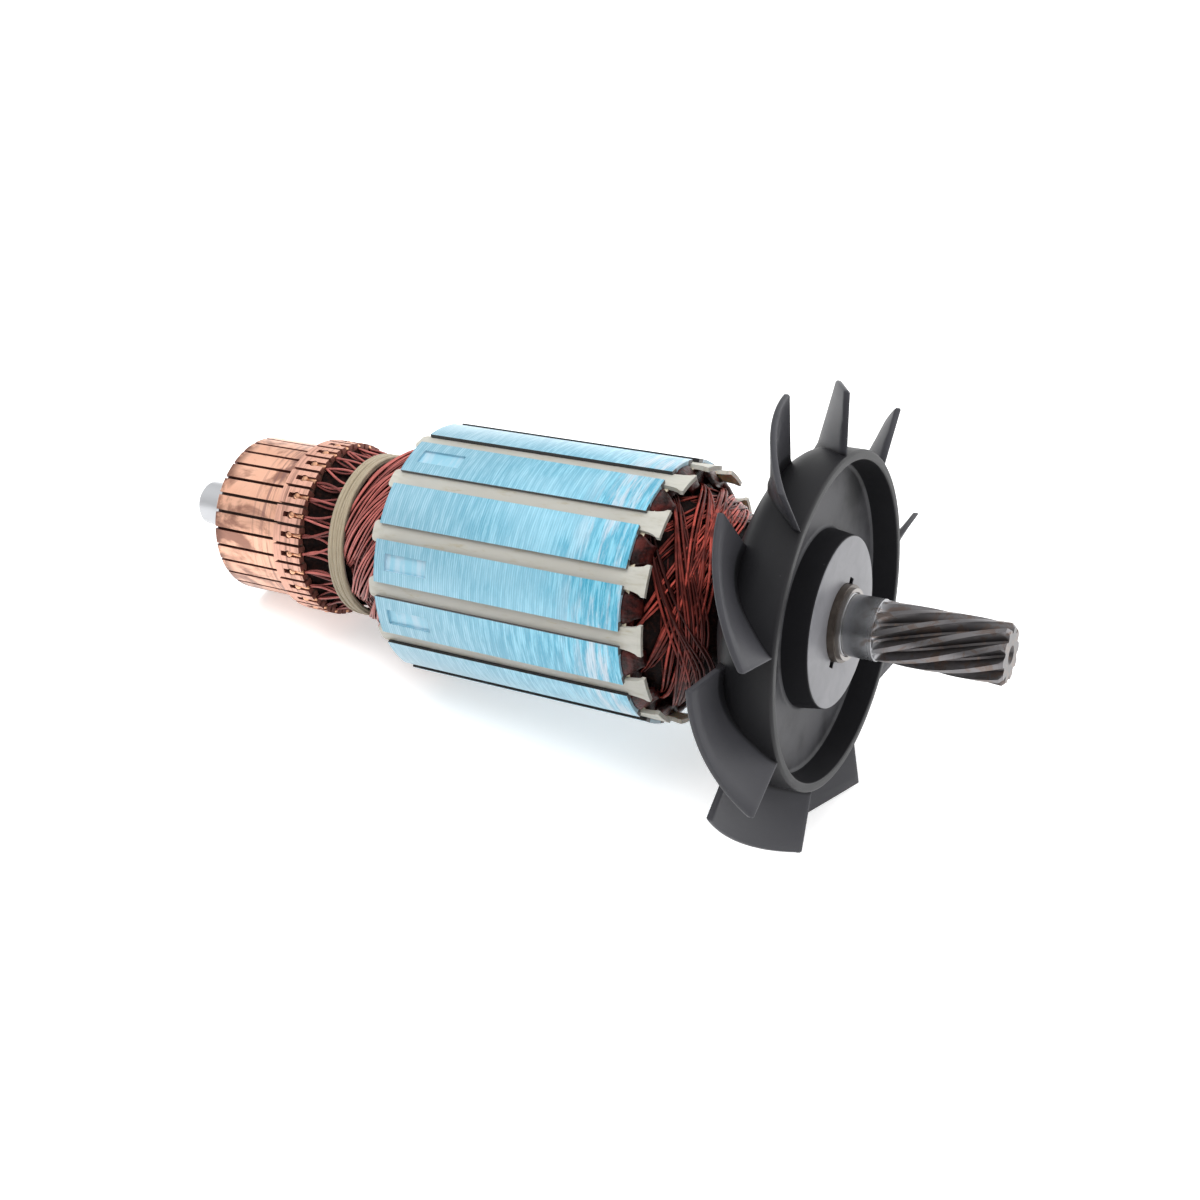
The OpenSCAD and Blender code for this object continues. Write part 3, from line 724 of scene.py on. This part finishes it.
TOOTH_DEPTH = 1.6
RUNOUT_LEN = 5.0
HELIX = math.radians(22)
TOOTH_PITCH = math.tau / TEETH
TOOTH_PHASE = math.radians(10.9)
CREST_HALF = TOOTH_PITCH * 0.15
ROOT_HALF = TOOTH_PITCH * 0.41


def tooth_half(r, root_r):
    """Half angle of a tooth at a radius: narrow at the crest and wide at the root."""
    f = min(1, max(0, (PINION_R - r) / max(0.01, PINION_R - root_r)))
    return mix(CREST_HALF, ROOT_HALF, f ** 1.35)


def pinion_row(z, trim):
    """Closed row round the toothed end at a height. No point lies beyond the trim radius."""
    crest_share = 0.28
    half_points = 7
    runout = max(0, PINION_REAR + RUNOUT_LEN - z) / RUNOUT_LEN
    rise = TOOTH_DEPTH * (1 - math.sqrt(max(0, 1 - runout * runout)))
    root_r = PINION_R - TOOTH_DEPTH + rise
    open_share = 1 - rise / TOOTH_DEPTH
    turn = TOOTH_PHASE - math.tan(HELIX) / PINION_R * (z - SHAFT_FRONT)
    row = []
    for tooth in range(TEETH):
        for k in range(-half_points, half_points + 1):
            f = abs(k) / half_points
            depth_share = smooth((f - crest_share) / (1 - crest_share))
            r = mix(PINION_R, root_r, depth_share)
            half = tooth_half(r, root_r) if f > crest_share else CREST_HALF * f / crest_share
            wide = mix(ROOT_HALF * f, half, open_share)
            row.append(polar(min(r, trim), turn + tooth * TOOTH_PITCH + math.copysign(wide, k), z))
    return row


def shaft_piece():
    form = Form()
    chamfer = 0.6
    seat_edge = 0.12
    hole_r = 1.8
    hole_tip_r = 0.02
    hole_depth = hole_r / math.tan(math.radians(30))
    body = [
        (hole_tip_r, SHAFT_REAR + hole_depth),
        (hole_r, SHAFT_REAR),
        (REAR_SEAT_R - chamfer, SHAFT_REAR),
        (REAR_SEAT_R, SHAFT_REAR + chamfer),
        (REAR_SEAT_R, BAR_REAR),
        (REAR_SEAT_R + SHOULDER_H, BAR_REAR + SHOULDER_H),
        (REAR_SEAT_R + SHOULDER_H, RISER_FRONT),
        (SEAT_R + SHOULDER_H, RISER_FRONT),
        (SEAT_R + SHOULDER_H, SPACER_FRONT - SHOULDER_H),
        (SEAT_R, SPACER_FRONT),
        (SEAT_R, PINION_REAR - seat_edge),
        (SEAT_R - seat_edge, PINION_REAR),
        (PINION_R - 0.3, PINION_REAR),
    ]
    form.lathe(body, 96, closed=False)
    tip_chamfer = 0.7
    runout_rows, tooth_rows, tip_rows = 20, 50, 3
    tooth_from = PINION_REAR + RUNOUT_LEN
    tooth_to = SHAFT_FRONT - tip_chamfer
    levels = [PINION_REAR + RUNOUT_LEN * (i / runout_rows) ** 1.4 for i in range(runout_rows)]
    levels += [mix(tooth_from, tooth_to, i / tooth_rows) for i in range(tooth_rows + 1)]
    rows = [pinion_row(z, PINION_R) for z in levels]
    for k in range(1, tip_rows + 1):
        z = mix(tooth_to, SHAFT_FRONT, k / tip_rows)
        rows.append(pinion_row(z, PINION_R - tip_chamfer * k / tip_rows))
    flat = [Vector((p.x, p.y, 0)) for p in rows[-1]]
    rows.append([p.normalized() * hole_r + Vector((0, 0, SHAFT_FRONT)) for p in flat])
    rows.append([p.normalized() * hole_tip_r + Vector((0, 0, SHAFT_FRONT - hole_depth)) for p in flat])
    form.grid(rows)
    sharpen(make_piece("shaft_and_pinion", form, "ground_steel", ["shaft"]), 30)


# ---- Fan ----

BLADE_T = 1.3
BLADE_LEN = 9.5
BLADE_SWEEP = math.radians(33.6)
BLADE_PHASE = math.radians(3.5)
BLADE_SETBACK = 0.2
TIP_CAMBER = 0.75
ROOT_CAMBER = 1.5
TROUGH_DEPTH = 5.5
BOSS_R = 16.8
RIM_T = 1.9
DRAFT = 0.8
BOWL_REAR_R = 17.5
RIM_LEN = 10.0
SHOULDER_R = 7.4
NOTCH_ANGLE = math.radians(71)
NOTCH_W = 2.2
FILLET_LEN = 1.2
FILLET_H = 0.5


def blade_z(s, r):
    """Height of a blade's middle, s of the way from its front edge to its rear edge, at a radius."""
    f = (r - BOWL_R) / (FAN_R - BOWL_R)
    camber = mix(ROOT_CAMBER, TIP_CAMBER, f)
    return FAN_FRONT - BLADE_SETBACK - BLADE_T / 2 - BLADE_LEN * (s + camber * s * (1 - s))


def bowl_outline():
    """Half section of the fan's body, anticlockwise from the bore's rear corner."""
    floor = FAN_FRONT - TROUGH_DEPTH
    bore = BUSH_R + 0.02
    corners = [
        (bore, FAN_REAR),
        (BOWL_REAR_R, FAN_REAR),
        (BOWL_R, FAN_FRONT - RIM_LEN),
        (BOWL_R, FAN_FRONT),
        (BOWL_R - RIM_T, FAN_FRONT),
        (BOWL_R - RIM_T - DRAFT, floor),
        (BOSS_R + DRAFT, floor),
        (BOSS_R, FAN_FRONT),
        (bore, FAN_FRONT),
    ]
    return rounded(corners, [0, 0.6, SHOULDER_R, 0.6, 0.45, 0.9, 0.7, 0.5, 0.15], 6)


def bowl_radius(z):
    """Radius of the fan's body at a height on its outside."""
    best = BOWL_REAR_R
    outline = [p for p in bowl_outline() if p[0] >= BOWL_REAR_R - 1]
    for (r0, z0), (r1, z1) in zip(outline, outline[1:]):
        if z0 <= z <= z1 and z1 > z0:
            best = max(best, mix(r0, r1, (z - z0) / (z1 - z0)))
    return best


def blade_form(form, turn):
    """Cambered blade with a small fillet, sunk into the fan's body at its root."""
    steps = 28
    edge = 0.3
    sunk = 1.0
    across = [0.0, 0.08, 0.2, 0.4, 0.6, 0.8, 1.0]
    up = Vector((0, 0, BLADE_T / 2))
    trim = Vector((0, 0, edge))
    rows = []
    for i in range(steps + 1):
        s = i / steps
        root = bowl_radius(blade_z(s, BOWL_R) - BLADE_T / 2) - sunk
        line = []
        for f in across:
            r = mix(root, FAN_R - edge, f)
            gap = r - bowl_radius(blade_z(s, r))
            fillet = min(1, max(0, FILLET_LEN - gap) / FILLET_LEN)
            swell = Vector((0, 0, FILLET_H * fillet ** 2 * smooth(4 * s)))
            line.append((polar(r, turn - BLADE_SWEEP * s, blade_z(s, r)), swell))
        tip = polar(FAN_R, turn - BLADE_SWEEP * s, blade_z(s, FAN_R))
        below = [p - up - swell for p, swell in line]
        above = [p + up + swell for p, swell in reversed(line)]
        rows.append(below + [tip - up + trim, tip + up - trim] + above)
    form.grid(rows, caps=True)


def cut_notches(fan):
    """Cuts the two notches beside the bush into the boss's front face."""
    depth = 1.2
    out_len = 1.3
    overlap = 0.5
    above = 2
    inner, outer = BUSH_R - overlap, BUSH_R + out_len
    for side in (0, 1):
        angle = NOTCH_ANGLE + math.pi * side
        out = polar(1, angle, 0)
        over = polar(1, angle + math.pi / 2, 0)
        notch = Form()
        notch.grid([
            [
                out * r + over * (w * NOTCH_W / 2) + Vector((0, 0, z))
                for r, w in ((inner, -1), (outer, -1), (outer, 1), (inner, 1))
            ]
            for z in (FAN_FRONT - depth, FAN_FRONT + above)
        ], caps=True)
        cutter = bpy.data.objects.new("notch", form_mesh("notch", notch))
        bpy.context.scene.collection.objects.link(cutter)
        cut = fan.modifiers.new("notch", "BOOLEAN")
        cut.operation = "DIFFERENCE"
        cut.object = cutter
        cut.solver = "EXACT"
        apply_modifiers(fan)
        bpy.data.objects.remove(cutter)


def fan_piece():
    body = Form()
    body.lathe(bowl_outline(), 256)
    fan = make_piece("cooling_fan", body, "fan_plastic", ["fan"])
    cut_notches(fan)
    sharpen(fan, 40)
    blades = Form()
    for i in range(BLADES):
        blade_form(blades, BLADE_PHASE + i * BLADE_PITCH)
    wings = make_piece("fan_blades", blades, "fan_plastic")
    bevel(wings, 0.28, 2, 50)
    sharpen(wings, 60)


# ---- Windings ----

COIL_SPAN = 6
LAST_SLOT = 12
INNER_WIRES = 7
OUTER_WIRES = 12
STRAND_WIRES = 6
SLOT_DIP = 0.6


def front_envelope(z):
    """Outer radius of the front winding at a height."""
    nose_r = 16.5
    f = min(1, max(0, (z - COIL_FRONT) / (FRONT_HEAD_END - COIL_FRONT)))
    return mix(FRONT_HEAD_R, nose_r, f ** 1.4)


def rear_envelope(z):
    """Outer radius of the rear winding at a height."""
    f = min(1, max(0, (z - BAND_FRONT) / (COIL_REAR - BAND_FRONT)))
    return mix(NECK_R, REAR_HEAD_R, math.sin(f * math.pi / 2))


def coil(form, rng, slot, height, depth, wires, tone, power):
    """Wires that leave a slot together, fan out over the front head and go in again one coil span on.

    Height is how far the coil rises from the core, depth how far it lies below the head's outside, and
    a lower power gives a squarer arch.
    """
    steps = 26
    crowding = 0.09
    height_spread = 0.42
    start = (slot + 0.5) * SLOT_PITCH
    lean = rng.uniform(-0.05, 0.05)
    for w in range(wires):
        f = w / (wires - 1) - 0.5
        own_height = height * (1 + height_spread * f + rng.uniform(-0.05, 0.05))
        own_depth = depth + rng.uniform(0, 0.7)
        in_slot = [(rng.uniform(-0.05, 0.05), rng.uniform(0.8, 3.4)) for end in range(2)]
        skew = lean + rng.uniform(-0.02, 0.02)
        own_power = power + rng.uniform(-0.06, 0.06)
        path = []
        for i in range(steps + 1):
            s = i / steps
            s -= crowding * math.sin(math.tau * s)
            rise = max(0, math.sin(math.pi * s)) ** own_power
            z = COIL_FRONT + own_height * rise - SLOT_DIP * (1 - rise)
            side_turn, side_depth = in_slot[0] if s < 0.5 else in_slot[1]
            near_slot = (1 - rise) ** 1.5
            angle = start + COIL_SPAN * SLOT_PITCH * (s + skew * math.sin(math.tau * s))
            angle += side_turn * near_slot
            r = front_envelope(z) - mix(own_depth, own_depth + side_depth, near_slot)
            path.append(polar(r, angle, z))
        form.tube(path, WIRE_R, 6, tone=min(1, max(0, tone + rng.uniform(-0.3, 0.3))))


def strand_path(rng, slot, sweep, depth):
    """Middle of a strand that leaves a slot at the rear and runs round the head to the lacing."""
    steps = 20
    under_band = 0.4
    start = (slot + 0.5) * SLOT_PITCH + rng.uniform(-0.09, 0.09)
    bow = rng.uniform(-0.06, 0.06)
    path = []
    for i in range(steps + 1):
        s = i / steps
        z = mix(COIL_REAR + SLOT_DIP, BAND_FRONT - under_band, s)
        angle = start + sweep * (s + bow * math.sin(math.pi * s))
        path.append(polar(rear_envelope(z) - depth - 1.2 * (1 - s) ** 4, angle, z))
    return path


def ribbon(form, rng, middle, wires, tone):
    """Wires laid side by side along one path, spreading and straying a little between its ends."""
    pitch = 1.4
    lean = rng.uniform(-0.35, 0.35)
    spread = rng.uniform(0.6, 1.5)
    last = len(middle) - 1
    for w in range(wires):
        across = w - (wires - 1) / 2 + rng.uniform(-0.25, 0.25)
        deep = rng.uniform(-0.5, 0.5)
        stray = rng.uniform(-1.2, 1.2)
        own_tone_and_depth_shade = min(1, max(0, tone + rng.uniform(-0.35, 0.3)))
        path = []
        for i, point in enumerate(middle):
            way = (middle[min(i + 1, last)] - middle[max(i - 1, 0)]).normalized()
            out = Vector((point.x, point.y, 0)).normalized()
            beside = way.cross(out).normalized()
            out = beside.cross(way)
            bow = math.sin(math.pi * i / last)
            u = across * (pitch + spread * bow) + stray * math.sin(math.tau * i / last)
            v = deep + lean * across
            path.append(point + beside * (u * WIRE_R) + out * (v * WIRE_R))
        form.tube(path, WIRE_R, 6, tone=own_tone_and_depth_shade)


def winding_heart(name, envelope, face, tip, inset, nose):
    """Near-black varnished heart of a winding head, under the wires that show; its darkness is varnish and
    also painted shade between the wires. It ends a nose short of the tip.
    """
    form = Form()
    steps = 14
    bore = SLEEVE_R + 0.3
    end = mix(tip, face, nose / abs(tip - face))
    outline = [(bore, face)]
    for i in range(steps + 1):
        z = mix(face, end, i / steps)
        outline.append((envelope(z) - inset, z))
    outline.append((bore, end))
    form.lathe(outline, 112)
    make_piece(name, form, "varnish")


def front_winding():
    """Coils wound one slot after another, each over the ones before. The last one starts at LAST_SLOT."""
    rng = random.Random(11)
    form = Form()
    length = FRONT_HEAD_END - COIL_FRONT
    powers = [rng.uniform(0.6, 1.0) for turn in range(SLOTS - 3)] + [0.45, 0.75, 0.95]
    order = [(LAST_SLOT + 1 + turn, turn / (SLOTS - 1)) for turn in range(SLOTS)]
    # The inner coils below get a low tone, as painted shade under the outer coils
    for slot, late in order:
        height = length * rng.uniform(0.35, 0.5)
        depth = 2 * WIRE_R + mix(4.2, 2.6, late)
        coil(form, rng, slot, height, depth, INNER_WIRES, 0.05, 0.8)
    for (slot, late), power in zip(order, powers):
        height = length * mix(0.62, 0.8, late) * rng.uniform(0.93, 1.0)
        depth = 2 * WIRE_R + mix(3.0, 0.0, late)
        tone = rng.uniform(0.1, 0.85)
        coil(form, rng, slot, height, depth, OUTER_WIRES, tone, power)
    make_piece("front_winding", form, "enamelled_wire", ["front_winding_head"])


def rear_winding():
    """Strands round the rear head in three layers. The lowest turns the other way, and lower layers get
    lower tones as painted shade.
    """
    rng = random.Random(23)
    form = Form()
    for turned, buried, tone in ((-1, 1.6, 0.05), (1, 0.7, 0.4), (1, 0.0, 0.85)):
        for slot in range(SLOTS):
            sweep = turned * math.radians(rng.uniform(56, 92))
            depth = 2 * WIRE_R + buried + rng.uniform(0, 0.5)
            middle = strand_path(rng, slot + 0.5 * buried, sweep, depth)
            ribbon(form, rng, middle, STRAND_WIRES, tone)
    make_piece("rear_winding", form, "enamelled_wire", ["rear_winding_head"])


def windings():
    winding_heart("front_winding_heart", front_envelope, COIL_FRONT, FRONT_HEAD_END, 3.4, 1.0)
    front_winding()
    winding_heart("rear_winding_heart", rear_envelope, COIL_REAR, BAND_REAR, 2.6, 0.0)
    rear_winding()


# ---- Lacing band, leads and varnish ----

def band_piece():
    """Rings of cord side by side, on a backing that fills the space under them."""
    rng = random.Random(5)
    form = Form()
    turns = 6
    steps = 180
    cord_sides = 10
    width = BAND_FRONT - BAND_REAR
    cord_r = width / turns * 0.62
    for k in range(turns):
        z0 = BAND_REAR + cord_r + (width - 2 * cord_r) * k / (turns - 1)
        phase = rng.uniform(0, math.tau)
        wander = rng.uniform(0.1, 0.22)
        rows = []
        for i in range(steps):
            a = math.tau * i / steps
            z = z0 + wander * math.sin(a * 2 + phase)
            z = min(BAND_FRONT - cord_r, max(BAND_REAR + cord_r, z))
            r = BAND_R - cord_r - 0.12 * (1 + math.sin(3 * a + phase * 2))
            out = polar(1, a, 0)
            rows.append([
                out * (r + cord_r * math.cos(w)) + Vector((0, 0, z + cord_r * math.sin(w)))
                for w in (math.tau * q / cord_sides for q in range(cord_sides))
            ])
        form.grid(rows, round_stack=True, tone=rng.random())
    backing = [
        (NECK_R + 0.02, BAND_REAR),
        (BAND_R - cord_r * 1.2, BAND_REAR + 0.1),
        (BAND_R - cord_r * 1.2, BAND_FRONT - 0.1),
        (NECK_R + 0.02, BAND_FRONT),
    ]
    form.lathe(backing, steps)
    make_piece("lacing", form, "lacing_cord", ["lacing_band"])


def varnish_piece():
    """Varnish between the commutator and the neck, drawn up round the leads."""
    rng = random.Random(8)
    form = Form()
    steps = 168
    levels = 16
    bore = SLEEVE_R + 0.1
    riser_r = RISER_R - 1.4
    neck_r = NECK_R - 0.7
    end = BAND_REAR + 0.3
    sag = 1.1
    ridge = 0.35
    turns = [math.tau * i / steps for i in range(steps)]
    rows = [[polar(bore, a, RISER_FRONT) for a in turns]]
    for j in range(levels + 1):
        f = j / levels
        z = mix(RISER_FRONT, end, f)
        row = []
        for a in turns:
            r = mix(riser_r, neck_r, f) - sag * math.sin(math.pi * f) - ridge
            r += ridge * math.sin(BARS * a + 2.2 * f) * (1 - f) + rng.uniform(-0.14, 0.14)
            row.append(polar(r, a, z))
        rows.append(row)
    rows.append([polar(bore, a, end) for a in turns])
    form.grid(rows, round_stack=True)
    make_piece("lead_zone_varnish", form, "varnish", ["lead_varnish"])


def lead(form, rng, centre, side, level):
    """One wire from a bar's riser to the neck, swinging out of its bar's line on the way."""
    steps = 10
    riser_r = RISER_R - 1.05
    spread = math.radians(4.6)
    swing = rng.choice((-1, 1)) * spread * rng.uniform(0.2, 1.9)
    dip = rng.uniform(-0.2, 0.9)
    bend = rng.uniform(-0.05, 0.05)
    path = []
    for k in range(steps + 1):
        s = k / steps
        z = mix(RISER_FRONT - 0.4, BAND_REAR + 0.9, s)
        a = centre + side * 0.012 + swing * smooth(s * 0.9 + 0.05) * s ** 0.3
        a += bend * math.sin(math.pi * s)
        r = mix(riser_r, NECK_R + 0.1, s) + (level - dip) * math.sin(math.pi * s)
        path.append(polar(r, a, z))
    form.tube(path, WIRE_R, 8, tone=rng.uniform(0.1, 0.9))


def fused_end(form, centre):
    """Ball and seam of fused copper, where the wires are welded into a bar's riser."""
    seam_back = 2.7
    rear = RISER_FRONT - seam_back
    form.ball(polar(RISER_R - 0.42, centre, rear), 0.82, 0.75)
    seam = [
        polar(RISER_R - 0.75, centre, rear),
        polar(RISER_R - 0.72, centre, RISER_FRONT - 0.5),
        polar(RISER_R - 0.85, centre, RISER_FRONT - 0.05),
    ]
    form.tube(seam, 0.56, 10)


def leads_piece():
    rng = random.Random(3)
    wires = Form()
    fused = Form()
    for i in range(BARS):
        centre = i * BAR_PITCH
        for side, level in ((-1, 0.0), (1, 0.35), (rng.choice((-1, 1)), -0.9)):
            lead(wires, rng, centre, side, level)
        fused_end(fused, centre)
    make_piece("commutator_leads", wires, "enamelled_wire", ["lead_wires"])
    make_piece("fused_wire_ends", fused, "bar_copper", material=fused_material())


# ---- End insulators ----

def squared(wave):
    """A sine or cosine drawn towards a square wave."""
    return math.copysign(abs(wave) ** 0.6, wave)


def finger(form, rng, middle, face, side, length):
    """Lumpy finger between two wedges, drawn in to the winding. It gets lower and narrower outwards."""
    steps = 9
    around = 16
    fall = rng.uniform(2.6, 3.6)
    own_length = length * rng.uniform(0.8, 1.0)
    rows = []
    for k in range(steps):
        f = k / (steps - 1)
        z = face + side * (0.02 + own_length * f)
        top = mix(INSULATOR_R - 0.15, INSULATOR_R - fall, f ** 1.4)
        half_angle = mix(0.128, 0.08, smooth(f))
        bottom = top - mix(3.2, 1.6, f)
        ring = []
        for t in range(around):
            w = math.tau * t / around
            r = mix(bottom, top, 0.5 + 0.5 * squared(math.sin(w)))
            r += rng.uniform(-0.16, 0.1)
            a = middle + half_angle * squared(math.cos(w)) + rng.uniform(-0.004, 0.004)
            ring.append(polar(r, a, z))
        rows.append(ring)
    form.grid(rows, caps=True)


def insulator_piece(name, node, face, side, length, seed):
    """Ring on the core's end under the wedges, with fingers between them. Side is 1 for the front end."""
    rng = random.Random(seed)
    form = Form()
    bore = SLEEVE_R + 0.3
    outer = face + side * abs(COIL_FRONT - CORE_FRONT)
    under_wedges = WEDGE_R - WEDGE_T - 0.1
    form.lathe([(bore, face), (under_wedges, face), (under_wedges, outer), (bore, outer)], 224)
    for i in range(SLOTS):
        finger(form, rng, i * SLOT_PITCH, face, side, length)
    make_piece(name, form, "insulation", [node])


shaft_piece()
fan_piece()
windings()
band_piece()
varnish_piece()
leads_piece()
insulator_piece("front_insulating_fingers", "front_end_insulator", CORE_FRONT, 1, 3.4, 31)
insulator_piece("rear_insulating_fingers", "rear_end_insulator", CORE_REAR, -1, 2.4, 37)


# ---- Studio ----

def view_camera():
    """Camera at the angle of the reference view: the shaft's axis turns away by yaw and dips by pitch.

    The core's middle lies aside millimetres to the right of the picture's centre, below millimetres
    below it and distance millimetres before the camera.
    """
    yaw = 0.4791
    pitch = 0.1747
    roll_to_bar = math.radians(7.09)
    distance = 336.5
    aside = -8.17
    below = -6.45
    along = Vector((math.cos(yaw) * math.cos(pitch), math.sin(pitch), -math.sin(yaw) * math.cos(pitch)))
    near = Vector((-math.sin(yaw), 0, -math.cos(yaw)))
    under = Vector((-math.cos(yaw) * math.sin(pitch), math.cos(pitch), math.sin(yaw) * math.sin(pitch)))
    # Rows: the picture's right, down and into-the-scene directions, in (near, under, along) parts
    picture = [Vector((near[i], under[i], along[i])) for i in range(3)]
    turn = Matrix.Rotation(-roll_to_bar, 3, "Z")
    right, down, into = (turn @ row for row in picture)
    place = -(right * aside + down * below + into * distance)
    basis = SHAFT.to_3x3() * (1 / MM)
    camera_data = bpy.data.cameras.new("camera")
    camera_data.lens = 48.66
    camera_data.sensor_width = 36
    camera_data.clip_start = 0.01
    camera = bpy.data.objects.new("camera", camera_data)
    axes = Matrix((basis @ right, basis @ -down, basis @ -into)).transposed()
    camera.matrix_world = Matrix.Translation(SHAFT @ place) @ axes.to_4x4()
    bpy.context.scene.collection.objects.link(camera)
    bpy.context.scene.camera = camera
    return camera


def floor():
    """White sheet that takes the shadow. Its glow shows only to the camera and in reflections."""
    size = 3.0
    glow = 0.4
    corners = [(-size, -size, 0), (size, -size, 0), (size, size, 0), (-size, size, 0)]
    mesh = bpy.data.meshes.new("floor")
    mesh.from_pydata(corners, [], [(0, 1, 2, 3)])
    m = Material("floor_paper")
    seen = m.add("ShaderNodeLightPath")
    direct = m.math("MAXIMUM", seen.outputs["Is Camera Ray"], seen.outputs["Is Glossy Ray"])
    m.feed(m.shader.inputs["Emission Strength"], m.share(direct, glow))
    mesh.materials.append(m.finish((0.93, 0.93, 0.93), 0.7, Emission_Color=(1, 1, 1, 1)))
    plane = bpy.data.objects.new("floor", mesh)
    bpy.context.scene.collection.objects.link(plane)


def area_light(name, offset, size, power):
    """Square light aimed at the core's middle, from an offset in metres. It leaves no mirror image."""
    target = SHAFT @ Vector((0, 0, 0))
    place = target + Vector(offset)
    data = bpy.data.lights.new(name, "AREA")
    data.shape = "RECTANGLE"
    data.size = size
    data.size_y = size
    data.energy = power
    light = bpy.data.objects.new(name, data)
    light.location = place
    light.rotation_euler = (target - place).to_track_quat("-Z", "Y").to_euler()
    light.visible_glossy = False
    bpy.context.scene.collection.objects.link(light)


def world(right, back):
    """White room, brightest behind the pinion's side and overhead, and dim round the camera."""
    scene_world = bpy.data.worlds.new("studio")
    scene_world.use_nodes = True
    bpy.context.scene.world = scene_world
    background = scene_world.node_tree.nodes["Background"]
    background.inputs["Color"].default_value = (1, 1, 1, 1)
    w = Nodes(scene_world.node_tree)
    way = w.add("ShaderNodeTexCoord").outputs["Generated"]
    behind_right = w.dot(way, (right * 0.8 - back * 0.6).normalized())
    overhead = w.dot(way, (0, 0, 1))
    light = w.math("ADD", w.ramp(behind_right, 0.1, 0.95, 0.3, 2.6), w.ramp(overhead, 0.2, 1.0, 0.0, 0.8))
    seen = w.add("ShaderNodeMix")
    w.feed(seen.inputs[0], w.add("ShaderNodeLightPath").outputs["Is Camera Ray"])
    w.feed(seen.inputs[2], light)
    w.feed(seen.inputs[3], 1.0)
    w.feed(background.inputs["Strength"], seen.outputs[0])


camera = view_camera()
floor()
picture_axes = camera.matrix_world.to_3x3()
world(picture_axes.col[0], picture_axes.col[2])
area_light("key", (-0.2, -0.15, 0.8), 0.6, 6)
area_light("side", (0.7, -0.5, 0.35), 0.5, 2)
bpy.context.scene.view_settings.view_transform = "Standard"
